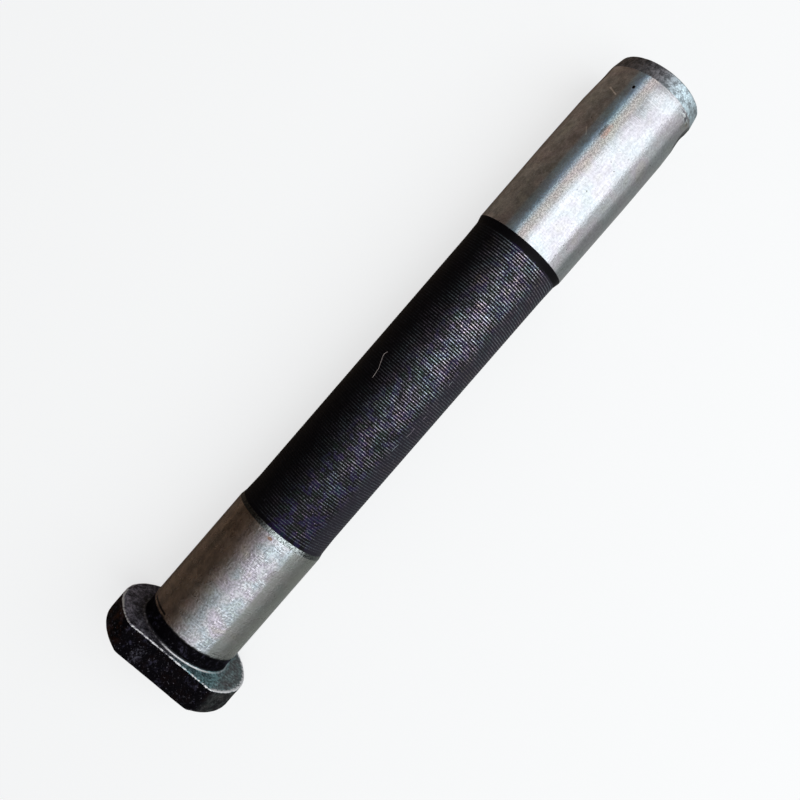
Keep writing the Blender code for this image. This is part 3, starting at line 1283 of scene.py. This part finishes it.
def ground_steel(name, colours, groups, values, marks_on):
    """Ground steel: satin, speckled, with fine marks around it and a faint oil film.

    values gives its brightness, roughness, speckle, film and bump; marks_on lays its own marks
    over it.
    """
    dust_black = (0.03, 0.03, 0.035, 1.0)
    plain = with_alpha([channel * values["brightness"] for channel in colours.ground_steel])
    speckle = values["speckle"]
    rough = values["roughness"]

    material, tree = new_tree(name)
    place = object_place(tree, groups).outputs["Place"]
    grain = steel_grain(tree, groups, place, 0.75, 7.0)
    marks = turning_marks(tree, groups, (-1000, 0), place, 0.35, 7.0)
    colour = oil_tint(tree, groups, (-1000, -250), place, plain, 9.0, values["film"])
    low = 1.0 - speckle
    high = 1.0 + speckle
    speckles = ramp(tree, (-750, 250), grain.outputs["Speckle"], 0.0, 1.0, low, high)
    colour = toned(tree, (-550, 100), colour, speckles)
    lengthwise = stretch(tree, (-1000, -800), place, (0.08, 0.9, 0.9))
    streaks = cloud(tree, (-800, -800), lengthwise, 1.0, 3.0, 0.6)
    streaks = ramp(tree, (-600, -800), streaks, 0.35, 0.65, 0.94, 1.06)
    colour = toned(tree, (-450, 250), colour, streaks)
    darkest = 1.0 - 0.33 * speckle
    brightest = 1.0 + 0.3 * speckle
    dashes = ramp(tree, (-600, -50), marks.outputs["Marks"], 0.0, 1.0, darkest, brightest)
    colour = toned(tree, (-400, 350), colour, dashes)
    dust = cloud(tree, (-1000, -600), place, 1.1, 2.0, 0.5)
    dust = ramp(tree, (-750, -600), dust, 0.715, 0.745)
    colour = blend(tree, (-350, 100), dust, colour, dust_black)
    colour = marks_on(tree, groups, colour)

    patches = grain.outputs["Patches"]
    roughness = ramp(tree, (-600, -200), patches, 0.0, 1.0, rough - 0.03, rough + 0.04)
    height = maths(tree, (-300, -400), "ADD", grain.outputs["Height"], marks.outputs["Height"])
    finishing(tree, colour, 1.0, roughness, height, 1.0, values["bump"] * MM, 0.5)
    return material


def head_land_marks(tree, groups, colour):
    """The head land's own marks, over its colour.

    A brown stain, grey dirt and a rust spot; painted shade darkens the land upwards and a painted
    brown reflection lies above that, in bands along it, with a painted flat grey reflection below;
    its chamfer is speckled, more on its lit side, and the neck's scale ends raggedly on it.
    """
    stain_brown = (0.17, 0.115, 0.08, 1.0)
    dirt_grey = (0.10, 0.10, 0.09, 1.0)
    rust_brown = (0.17, 0.085, 0.04, 1.0)
    upper_brown_reflection = (0.31, 0.245, 0.20, 1.0)
    below_reflection_grey = (0.165, 0.17, 0.155, 1.0)
    lowest_reflection_pale = (0.34, 0.345, 0.31, 1.0)
    chamfer_grey = (0.215, 0.235, 0.235, 1.0)
    scale_black = (0.02, 0.02, 0.02, 1.0)
    chamfer_start = HEAD_LAND_END / MM
    place = tree.nodes["place"].outputs["Place"]
    station = tree.nodes["place"].outputs["Station"]
    side = tree.nodes["place"].outputs["Side"]

    stain = spot(tree, groups, (-900, -900), (47.0, 47.0, 18.0), (6.0, 5.0, 5.0), 1.3, 0.55)
    colour = blend(tree, (-150, 100), stain, colour, stain_brown)
    dirt = spot(tree, groups, (-900, -1100), (40.9, -26.5, 18.0), (2.8, 1.3, 1.3), 1.2, 0.5)
    colour = blend(tree, (0, 100), dirt, colour, dirt_grey)
    rust = spot(tree, groups, (-900, -1300), (51.0, 2.0, 18.0), (0.6, 1.0, 1.0), 2.2, 0.75)
    colour = blend(tree, (150, 100), rust, colour, rust_brown)

    # Painted shade: the land darker upwards and a little lighter below.
    upper_shade = ramp(tree, (-900, -3100), side, 0.075, -0.05, 0.55, 1.12)
    colour = toned(tree, (100, 250), colour, upper_shade)
    # Painted reflection: the brown surroundings on the upper side, in bands along it.
    beyond = ramp(tree, (-900, -2100), side, 0.0, 0.10, 0.0, 0.6)
    brown = ramp(tree, (-900, -3300), side, 0.12, 0.19, 1.0, 1.4)
    veil = cloud(tree, (-900, -3500), place, 0.30, 5.0, 0.75)
    veil = ramp(tree, (-700, -3500), veil, 0.35, 0.65, 0.72, 1.28)
    lengthwise = stretch(tree, (-900, -3700), place, (0.012, 0.26, 0.26))
    bands = cloud(tree, (-700, -3700), lengthwise, 1.0, 2.0, 0.5)
    bands = ramp(tree, (-500, -3700), bands, 0.38, 0.62, 0.78, 1.22)
    brown = product(tree, (-500, -3400), brown, veil, bands)
    brown = toned(tree, (100, 400), upper_brown_reflection, brown)
    colour = blend(tree, (200, 250), beyond, colour, brown)

    # Painted reflection: flat grey below the highlight, paler lowest down.
    below = ramp(tree, (-900, -2300), side, -0.070, -0.088, 0.0, 0.8)
    lowest = ramp(tree, (-900, -2500), side, -0.125, -0.18)
    film = blend(tree, (0, 600), lowest, below_reflection_grey, lowest_reflection_pale)
    colour = blend(tree, (200, 400), below, colour, film)

    specks = cloud(tree, (-900, -1900), place, 1.6, 4.0, 0.8)
    specks = ramp(tree, (-700, -1900), specks, 0.36, 0.64, 0.12, 1.9)
    # Painted light: the chamfer's specks brighter on its lit side and dimmer on its shaded side.
    lit = ramp(tree, (-700, -2700), side, 0.07, 0.0, 0.2, 1.0)
    shaded = ramp(tree, (-700, -2900), side, -0.095, -0.125, 1.0, 0.35)
    specks = product(tree, (-500, -2800), specks, lit, shaded)
    chamfer = toned(tree, (250, 450), chamfer_grey, specks)
    past_land = ramp(tree, (-500, -1900), station, chamfer_start, chamfer_start + 0.2)
    colour = blend(tree, (250, 250), past_land, colour, chamfer)

    ragged = cloud(tree, (-900, -1500), place, 0.55, 4.0, 0.7)
    ragged = maths(tree, (-700, -1500), "MULTIPLY_ADD", ragged, 1.2, station)
    edge = ramp(tree, (-500, -1500), ragged, 7.05, 6.65)
    streak = scratch(tree, groups, (-900, -1700), (7.25, 68.0), (7.35, 36.0), 0.5)
    edge = maths(tree, (-300, -1600), "MAXIMUM", edge, streak)
    return blend(tree, (300, 100), edge, colour, scale_black)


def tail_land_marks(tree, groups, colour):
    """The tail land's own marks, over its colour.

    A worn patch with a scuff and two scratches; a painted slate blue reflection, painted light and
    shade by side, a painted warm reflection band below it, peppered, and a veiled upper side; an
    ochre spot and ticks by the lead-in, and painted shade round the hole.
    """
    worn_brown = (0.36, 0.25, 0.22, 1.0)
    scuff_black = (0.06, 0.06, 0.06, 1.0)
    scratch_bright = (0.85, 0.83, 0.82, 1.0)
    slate_reflection_gain = (0.92, 1.18, 1.36, 1.0)
    warm_reflection_gain = (1.24, 1.16, 1.08, 1.0)
    ochre_tint = (0.45, 0.36, 0.22, 1.0)
    tick_dark = (0.15, 0.15, 0.18, 1.0)
    tick_bright = (0.75, 0.80, 0.82, 1.0)
    hole_shade_black = (0.006, 0.007, 0.006, 1.0)
    # Painted light and shade by side: two values of Side, and the gain at each
    painted_side_gains = (
        (0.09, 0.19, 1.0, 1.5),
        (-0.035, 0.045, 0.84, 1.12),
        (-0.045, -0.13, 1.0, 1.35),
    )
    hole_middle = (HOLE_STATION / MM, 0.0, 0.0)
    rim = HOLE_RADIUS / MM
    place = tree.nodes["place"].outputs["Place"]
    station = tree.nodes["place"].outputs["Station"]
    side = tree.nodes["place"].outputs["Side"]

    worn = spot(tree, groups, (-900, -900), (223.9, 15.4, 17.9), (2.6, 1.2, 1.2), 3.6, 0.75)
    colour = blend(tree, (-150, 100), worn, colour, worn_brown)
    scuff = spot(tree, groups, (-900, -1100), (223.6, 18.3, 17.9), (2.9, 0.6, 0.6), 4.0, 0.65)
    colour = blend(tree, (0, 100), scuff, colour, scuff_black)
    long_one = scratch(tree, groups, (-900, -1300), (237.6, 48.5), (235.9, 35.5), 0.30)
    short_one = scratch(tree, groups, (-900, -1500), (219.5, 30.0), (221.8, 36.0), 0.22)
    bright = maths(tree, (-700, -1400), "MULTIPLY_ADD", short_one, 0.5, long_one)
    colour = blend(tree, (150, 100), bright, colour, scratch_bright)

    # Painted reflection: a slate blue line of the surroundings.
    slate = band(tree, (-500, -2300), side, 0.036, 0.056, 0.082, 0.096)
    colour = blend(tree, (150, 300), slate, colour, slate_reflection_gain, "MULTIPLY")
    for row, (low, high, gain_low, gain_high) in enumerate(painted_side_gains):
        gain = ramp(tree, (-500, -2700 - 200 * row), side, low, high, gain_low, gain_high)
        colour = toned(tree, (150 + 100 * row, 450), colour, gain)
    # Painted reflection: a warm band below the slate line, peppered.
    lit_band = band(tree, (-500, -3700), side, 0.008, 0.030, 0.052, 0.062)
    colour = blend(tree, (450, 600), lit_band, colour, warm_reflection_gain, "MULTIPLY")
    pepper = cloud(tree, (-500, -4100), place, 2.4, 3.0, 0.7)
    pepper = ramp(tree, (-300, -4100), pepper, 0.40, 0.60, 0.70, 1.30)
    colour = blend(tree, (450, 750), lit_band, colour, pepper, "MULTIPLY")
    veiled = ramp(tree, (-500, -4300), side, 0.07, 0.10)
    veil = cloud(tree, (-500, -4500), place, 0.30, 5.0, 0.75)
    veil = ramp(tree, (-300, -4500), veil, 0.35, 0.65, 0.76, 1.24)
    colour = blend(tree, (450, 900), veiled, colour, veil, "MULTIPLY")

    ochre = spot(tree, groups, (-900, -2900), (246.0, -56.0, 17.35), (0.6, 1.2, 1.2), 1.0, 0.5)
    colour = blend(tree, (150, 600), ochre, colour, ochre_tint)
    round_grain = stretch(tree, (-900, -1700), place, (2.3, 0.5, 0.5))
    ticks = cloud(tree, (-700, -1700), round_grain, 1.0, 2.0, 0.5)
    dark_ticks = ramp(tree, (-500, -1700), ticks, 0.51, 0.56)
    bright_ticks = ramp(tree, (-500, -1800), ticks, 0.46, 0.41)
    near_end = ramp(tree, (-500, -1900), station, 244.8, 246.2)
    lower_side = band(tree, (-500, -2100), side, -0.085, -0.105, -0.15, -0.17)
    there = maths(tree, (-300, -1900), "MULTIPLY", near_end, lower_side)
    dark_ticks = maths(tree, (-100, -1700), "MULTIPLY", dark_ticks, there)
    bright_ticks = maths(tree, (-100, -1900), "MULTIPLY", bright_ticks, there)
    colour = blend(tree, (300, 100), dark_ticks, colour, tick_dark)
    colour = blend(tree, (300, 0), bright_ticks, colour, tick_bright)

    # Painted shade: dark round the mouth of the hole.
    away = vector_maths(tree, (-900, -3100), "SUBTRACT", place, hole_middle)
    from_axis = vector_maths(tree, (-700, -3100), "CROSS_PRODUCT", away, HOLE_AXIS)
    from_axis = vector_value(tree, (-500, -3100), "LENGTH", from_axis)
    dirt = ramp(tree, (-300, -3100), from_axis, rim + 2.1, rim + 1.3, 0.0, 0.95)
    return blend(tree, (450, 100), dirt, colour, hole_shade_black)


def turned_middle(sizes, colours, groups):
    """Black oxide over turned ridges, their crests worn bare, more so towards the tail and shown
    bare
    only on the near side: partly wear and partly painted highlight.

    Faint colours lie between the crests on the near side, with a painted grey reflection on the
    lower side, and nicks and painted glints over them.
    """
    oxide = with_alpha(colours.black_oxide)
    bare = with_alpha(colours.bare_steel)
    low_grey_reflection = (0.016, 0.014, 0.020, 1.0)
    stops = (
        (0.34, (0.002, 0.008, 0.003, 1.0)),
        (0.41, oxide),
        (0.51, oxide),
        (0.58, (0.013, 0.006, 0.032, 1.0)),
        (0.68, (0.003, 0.010, 0.018, 1.0)),
    )

    material, tree = new_tree("turned_middle")
    where = object_place(tree, groups)
    place = where.outputs["Place"]
    station = where.outputs["Station"]
    side = where.outputs["Side"]
    grain = steel_grain(tree, groups, place, 0.6, 9.0)
    before_ramp = ramp(tree, (-1000, -2700), station, 177.6, 177.2)
    ridged = band(tree, (-400, -900), station, 55.1, 55.4, 177.1, 177.5)

    hue = cloud(tree, (-1250, -250), place, 0.30, 3.0, 0.6)
    hue = hues(tree, (-1000, -250), hue, stops)
    # Painted shade: the faint colours left off the upper side, which stays plain black.
    seen_hue = ramp(tree, (-1000, -2500), side, 0.07, 0.0)
    seen_hue = maths(tree, (-800, -2500), "MULTIPLY", seen_hue, before_ramp)
    colour = blend(tree, (-200, 250), seen_hue, oxide, hue)
    # Painted reflection: flat grey on the lower side.
    below = ramp(tree, (-1000, -2300), side, -0.085, -0.125)
    below = maths(tree, (-800, -2300), "MULTIPLY", below, before_ramp)
    colour = blend(tree, (0, 250), below, colour, low_grey_reflection)

    turns = maths(tree, (-1000, -500), "DIVIDE", station, sizes.ridge_pitch / MM)
    turns = maths(tree, (-800, -500), "SUBTRACT", turns, where.outputs["Turn"])
    start_phase = RIDGES_START / sizes.ridge_pitch
    turns = maths(tree, (-600, -500), "SUBTRACT", turns, start_phase + 0.5)
    wave = maths(tree, (-400, -500), "MULTIPLY", turns, math.tau)
    wave = maths(tree, (-200, -500), "COSINE", wave)
    crest = ramp(tree, (0, -500), wave, 0.12, 1.0)
    marks = turning_marks(tree, groups, (-700, -1100), place, 0.5, 3.0).outputs["Marks"]
    broken = maths(tree, (0, -1100), "MULTIPLY_ADD", marks, 0.42, 0.31)
    # Crests worn bare, partly painted highlight: more towards the tail and only on the near side.
    towards_tail = ramp(tree, (-400, -750), station, 60.0, 165.0, 0.38, 1.25)
    patches = ramp(tree, (-400, -1300), grain.outputs["Patches"], 0.0, 1.0, 0.6, 1.0)
    near = ramp(tree, (-400, -1700), side, 0.122, -0.045, 0.03, 1.0)
    dots = cloud(tree, (-700, -1900), place, 2.4, 4.0, 0.8)
    dots = ramp(tree, (-400, -1900), dots, 0.40, 0.62, 0.12, 1.45)
    # Painted shade: fewer bare crests on the lower side.
    lower_shade = maths(tree, (1100, -700), "MULTIPLY_ADD", below, -0.62, 1.0)
    bare_highlight = product(
        tree, (200, -500), crest, broken, towards_tail, patches, ridged, near, dots, lower_shade
    )

    # Painted glints, on the near side.
    glint = cloud(tree, (-700, -2100), place, 1.2, 4.0, 0.8)
    glint = ramp(tree, (-400, -2100), glint, 0.66, 0.73)
    glint = product(tree, (0, -2100), glint, near, ridged)
    bare_highlight = maths(tree, (1250, -500), "MAXIMUM", bare_highlight, glint)
    nicks = 0.0
    for level, (start, end) in enumerate(NICKS):
        nick = scratch(tree, groups, (-700, -2300 - 200 * level), start, end, 0.14)
        nicks = maths(tree, (0, -2300 - 200 * level), "MAXIMUM", nicks, nick)
    nicks = maths(tree, (200, -2300), "MULTIPLY", nicks, 0.4)
    bare_highlight = maths(tree, (1400, -500), "MAXIMUM", bare_highlight, nicks)

    steel = oil_tint(tree, groups, (-700, -1500), place, bare, 7.0, 1.0)
    steel = oil_tint(tree, groups, (-400, -1500), place, steel, 3.0, 0.5)
    colour = blend(tree, (300, 100), bare_highlight, colour, steel)
    roughness = ramp(tree, (100, -100), grain.outputs["Patches"], 0.0, 1.0, 0.40, 0.5)
    roughness = maths(tree, (300, -100), "MULTIPLY_ADD", bare_highlight, -0.18, roughness)
    metal = ramp(tree, (300, -250), bare_highlight, 0.0, 0.4)
    finishing(tree, colour, metal, roughness, grain.outputs["Height"], 0.7, 0.12 * MM, 0.05)
    return material


def cropped_lead_in(groups):
    """The lead-in and end face: battered steel, with painted bright bluish light on its near side.
    """
    dark_low = (0.065, 0.065, 0.070, 1.0)
    dark_high = (0.19, 0.185, 0.20, 1.0)
    painted_light_blue = (0.47, 0.57, 0.62, 1.0)

    material, tree = new_tree("cropped_lead_in")
    place = object_place(tree, groups).outputs["Place"]
    across = add(tree, "ShaderNodeSeparateXYZ", (-950, -100), {0: place}).outputs["Y"]
    grain = steel_grain(tree, groups, place, 0.6, 3.0)
    # Painted light: bright and bluish on the near side.
    near_side_light = ramp(tree, (-750, -100), across, 4.1, -8.0)
    patch = cloud(tree, (-1000, -300), place, 0.55, 5.0, 0.75)
    patch = ramp(tree, (-750, -300), patch, 0.40, 0.60)
    bright = maths(tree, (-550, -50), "MULTIPLY_ADD", patch, 0.75, 0.35)
    bright = maths(tree, (-350, -50), "MULTIPLY", near_side_light, bright)
    dark = blend(tree, (-500, 250), patch, dark_low, dark_high)
    colour = blend(tree, (-150, 100), bright, dark, painted_light_blue)
    roughness = ramp(tree, (-500, -400), grain.outputs["Speckle"], 0.0, 1.0, 0.36, 0.5)
    finishing(tree, colour, 1.0, roughness, grain.outputs["Height"], 0.8, 0.3 * MM, 0.5)
    return material


def lint():
    """A pale brownish textile fibre."""
    dark = (0.30, 0.24, 0.22, 1.0)
    pale = (0.55, 0.47, 0.44, 1.0)
    material, tree = new_tree("lint")
    source = add(tree, "ShaderNodeTexCoord", (-600, 0))
    uneven = cloud(tree, (-400, 0), source.outputs["Object"], 900.0, 2.0)
    colour = blend(tree, (-150, 0), uneven, dark, pale)
    finishing(tree, colour, 0.0, 0.8, uneven, 0.3, 0.05 * MM, 0.2)
    return material


def seen_directly(tree, place):
    """1 for what the camera sees, also in gloss and through glass, and 0 for light on things."""
    path = add(tree, "ShaderNodeLightPath", place)
    seen = maths(
        tree,
        (place[0] + 200, place[1]),
        "MAXIMUM",
        path.outputs["Is Camera Ray"],
        path.outputs["Is Glossy Ray"],
    )
    return maths(
        tree, (place[0] + 400, place[1]), "MAXIMUM", seen, path.outputs["Is Transmission Ray"]
    )


def fibre_point(station, angle, thickness):
    """A point of the fibre's path, on the crests; station is in mm and angle in degrees."""
    turn = math.radians(angle)
    radius = MIDDLE_RADIUS + FIBRE_LIFT + thickness / 2
    return Vector((station * MM, radius * math.sin(turn), radius * math.cos(turn)))


# Operators


class TRACKPIN_OT_build_pin(bpy.types.Operator):
    """Turn, forge, cut and finish the pin, and lay it down where its CAD solid lies"""

    bl_idname = "track_pin.build_pin"
    bl_label = "Build the pin"

    def execute(self, context):
        sizes = context.scene.pin_sizes
        colours = context.scene.pin_colours

        head = turned("head", head_profile(), sizes.columns)
        close_seam(head)
        cut_flats(head)
        grid_flats(head)
        dent_head(head.data, sizes.forging_dents, sizes.arris_wear)

        profile = shank_profile(sizes.ridge_pitch, sizes.ridge_depth)
        shank = turned("shank", profile, sizes.columns)
        wind_ridges(shank.data, sizes.ridge_pitch)
        close_seam(shank)
        mark_crests(shank, sizes.ridge_depth)
        skew_tail(shank.data)
        batter_lead_in(shank.data)

        pin = join([head, shank])
        pin.name = "pin"
        pin.data.name = "pin"
        close_and_turn_out(pin)
        cut_with(pin, hole_cutter())
        cut_with(pin, pit_cutter())
        left_open = open_edges(pin.data)
        if left_open:
            raise RuntimeError(f"the pin has {left_open} open edges")

        groups = {
            "place": pin_place_group(),
            "grain": grain_group(),
            "marks": turning_marks_group(),
            "tint": oil_tint_group(),
            "spot": spot_group(),
            "scratch": scratch_group(),
            "arris": worn_arris_group(),
        }
        pin.data.materials.clear()
        pin.data.materials.append(forged_scale(colours, groups))
        pin.data.materials.append(faced_shoulder(colours, groups))
        land = ground_steel("head_land", colours, groups, DULL_LAND, head_land_marks)
        pin.data.materials.append(land)
        pin.data.materials.append(turned_middle(sizes, colours, groups))
        land = ground_steel("tail_land", colours, groups, CLEAN_LAND, tail_land_marks)
        pin.data.materials.append(land)
        pin.data.materials.append(cropped_lead_in(groups))
        for face in pin.data.polygons:
            face.material_index = finish_at(face.center)

        select_alone(pin)
        bpy.ops.object.shade_smooth_by_angle(angle=SHARP_ANGLE, keep_sharp_edges=True)
        pin.data.transform(LYING)

        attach(pin, "root")
        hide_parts("track_pin")
        return {"FINISHED"}


class TRACKPIN_OT_lay_fibre(bpy.types.Operator):
    """Lay the lint fibre that clings to the ridges of the middle"""

    bl_idname = "track_pin.lay_fibre"
    bl_label = "Lay the lint fibre"

    def execute(self, context):
        thickness = context.scene.pin_sizes.fibre_thickness
        path = [fibre_point(station, angle, thickness) for station, angle in FIBRE_PATH]
        deselect_all()
        bpy.ops.mesh.primitive_circle_add(vertices=FIBRE_SIDES, radius=thickness / 2)
        fibre = context.object
        fibre.name = "lint_fibre"
        fibre.data.name = "lint_fibre"
        ahead = (path[1] - path[0]).normalized()
        fibre.data.transform(ahead.to_track_quat("Z", "Y").to_matrix().to_4x4())
        fibre.data.transform(Matrix.Translation(path[0]))
        bpy.ops.object.mode_set(mode="EDIT")
        bpy.ops.mesh.select_all(action="SELECT")
        bpy.ops.mesh.edge_face_add()
        for start, end in zip(path, path[1:]):
            bpy.ops.mesh.extrude_region_move(TRANSFORM_OT_translate={"value": end - start})
        bpy.ops.mesh.select_all(action="SELECT")
        bpy.ops.mesh.normals_make_consistent(inside=False)
        leave_edit()
        if open_edges(fibre.data):
            raise RuntimeError("the lint fibre has open edges")
        fibre.data.materials.append(lint())
        bpy.ops.object.shade_smooth()
        fibre.data.transform(LYING)
        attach(fibre, "root")
        return {"FINISHED"}


class TRACKPIN_OT_light_stage(bpy.types.Operator):
    """Lay a plain pale floor, light it softly, and place the camera"""

    bl_idname = "track_pin.light_stage"
    bl_label = "Set the stage"

    def execute(self, context):
        scene = context.scene
        colours = scene.pin_colours
        deselect_all()
        bpy.ops.mesh.primitive_plane_add(size=FLOOR_SIZE, location=(0.0, 0.0, 0.0))
        floor = context.object
        floor.name = "floor"
        material, tree = new_tree("pale_floor")
        shader = matt(tree, (0, 100), with_alpha(colours.floor))
        white = add(tree, "ShaderNodeEmission", (0, -200), {"Color": (1.0, 1.0, 1.0, 1.0)})
        share = maths(tree, (0, 250), "MULTIPLY", seen_directly(tree, (-600, 250)), FLOOR_WHITE)
        mixture = {0: share, 1: shader, 2: white.outputs[0]}
        mixed = add(tree, "ShaderNodeMixShader", (300, 0), mixture)
        add(tree, "ShaderNodeOutputMaterial", (500, 0), {"Surface": mixed.outputs[0]})
        floor.data.materials.append(material)

        self.hang_key_light()
        self.lay_reflected_tray()
        self.fill_world(scene)
        self.place_camera(scene)
        scene.view_settings.view_transform = "Standard"
        return {"FINISHED"}

    def hang_key_light(self):
        """One soft overhead light, on the tail's side and towards -Y."""
        place = Vector(KEY_PLACE)
        bpy.ops.object.light_add(type="AREA", location=place)
        key = bpy.context.object
        key.name = "key_light"
        key.data.shape = "RECTANGLE"
        key.data.size = KEY_SIZE[0]
        key.data.size_y = KEY_SIZE[1]
        key.data.energy = KEY_POWER
        key.data.color = KEY_COLOUR
        key.rotation_euler = (-place).to_track_quat("-Z", "Y").to_euler()

    def lay_reflected_tray(self):
        """A tray that only reflections see: the duller surroundings of a real workshop.

        Its floor is brown beyond the pin and grey on the near side, and its one wall, at +Y,
        is brown with a slate blue top and rises towards the head.
        """
        bpy.ops.mesh.primitive_plane_add(size=2.0, location=(0.0, 0.0, TRAY_LEVEL))
        tray = bpy.context.object
        tray.name = "reflected_tray"
        bpy.ops.object.transform_apply(location=True, rotation=False, scale=False)
        for corner in tray.data.vertices:
            corner.co.x *= TRAY_HALF_LENGTH
            corner.co.y = TRAY_LEFT if corner.co.y > 0 else TRAY_RIGHT
        edit(tray)
        bpy.ops.mesh.select_mode(type="EDGE")
        bpy.ops.mesh.select_all(action="DESELECT")
        body = bmesh.from_edit_mesh(tray.data)
        for edge in body.edges:
            if all(vertex.co.y > 0 for vertex in edge.verts):
                edge.select_set(True)
        bmesh.update_edit_mesh(tray.data)
        bpy.ops.mesh.extrude_region_move(TRANSFORM_OT_translate={"value": (0.0, 0.0, WALL_HEIGHT)})
        leave_edit()
        for corner in tray.data.vertices:
            if corner.co.z > WALL_HEIGHT / 2:
                corner.co.z -= WALL_SLOPE * corner.co.x
        material, tree = new_tree("reflected_tray")
        source = add(tree, "ShaderNodeTexCoord", (-1100, 0))
        split = add(tree, "ShaderNodeSeparateXYZ", (-900, 0), {0: source.outputs["Object"]})
        level = maths(
            tree, (-700, -150), "MULTIPLY_ADD", split.outputs["X"], WALL_SLOPE, split.outputs["Z"]
        )
        top = ramp(tree, (-450, -150), level, WALL_HEIGHT - WALL_TOP, WALL_HEIGHT - WALL_TOP / 2)
        brown = blend(tree, (-250, -100), top, DARK_SIDE, BLUE_TOP)
        grey_side = ramp(tree, (-450, 100), split.outputs["Y"], GREY_FROM, GREY_TO)
        colour = blend(tree, (-50, 100), grey_side, brown, GREY_SIDE)
        shader = matt(tree, (150, 0), colour)
        add(tree, "ShaderNodeOutputMaterial", (450, 0), {"Surface": shader})
        tray.data.materials.append(material)
        tray.visible_camera = False
        tray.visible_diffuse = False
        tray.visible_shadow = False

    def fill_world(self, scene):
        """White around the floor, and a lower plain level for the light it gives."""
        world = bpy.data.worlds.new("studio")
        scene.world = world
        world.use_nodes = True
        tree = world.node_tree
        tree.nodes.clear()
        seen = seen_directly(tree, (-900, 100))
        strength = ramp(tree, (-250, 100), seen, 0.0, 1.0, WORLD_LIGHT, 1.0)
        values = {"Color": (1.0, 1.0, 1.0, 1.0), "Strength": strength}
        light = add(tree, "ShaderNodeBackground", (0, 0), values)
        add(tree, "ShaderNodeOutputWorld", (250, 0), {"Surface": light.outputs[0]})

    def place_camera(self, scene):
        """The camera at the photograph's place."""
        bpy.ops.object.camera_add(location=CAMERA_PLACE, rotation=CAMERA_TURN)
        camera = bpy.context.object
        camera.name = "camera"
        camera.data.sensor_width = CAMERA_SENSOR
        camera.data.lens = CAMERA_LENS
        camera.data.clip_start = CAMERA_CLIP
        scene.camera = camera


class TRACKPIN_PT_sidebar(bpy.types.Panel):
    """Lists the pin's sizes, its colours and the operators that build it"""

    bl_idname = "TRACKPIN_PT_sidebar"
    bl_label = "Track chain pin"
    bl_space_type = "VIEW_3D"
    bl_region_type = "UI"
    bl_category = "Track pin"

    def draw(self, context):
        layout = self.layout
        for settings in (context.scene.pin_sizes, context.scene.pin_colours):
            for name in settings.__annotations__:
                layout.prop(settings, name)
        layout.operator(TRACKPIN_OT_build_pin.bl_idname)
        layout.operator(TRACKPIN_OT_lay_fibre.bl_idname)
        layout.operator(TRACKPIN_OT_light_stage.bl_idname)


CLASSES = (
    PinSizes,
    PinColours,
    TRACKPIN_OT_build_pin,
    TRACKPIN_OT_lay_fibre,
    TRACKPIN_OT_light_stage,
    TRACKPIN_PT_sidebar,
)


def register():
    for cls in CLASSES:
        bpy.utils.register_class(cls)
    bpy.types.Scene.pin_sizes = PointerProperty(type=PinSizes)
    bpy.types.Scene.pin_colours = PointerProperty(type=PinColours)


def unregister():
    del bpy.types.Scene.pin_colours
    del bpy.types.Scene.pin_sizes
    for cls in reversed(CLASSES):
        bpy.utils.unregister_class(cls)


def main():
    register()
    bpy.ops.track_pin.build_pin()
    bpy.ops.track_pin.lay_fibre()
    bpy.ops.track_pin.light_stage()


if __name__ == "__main__":
    main()
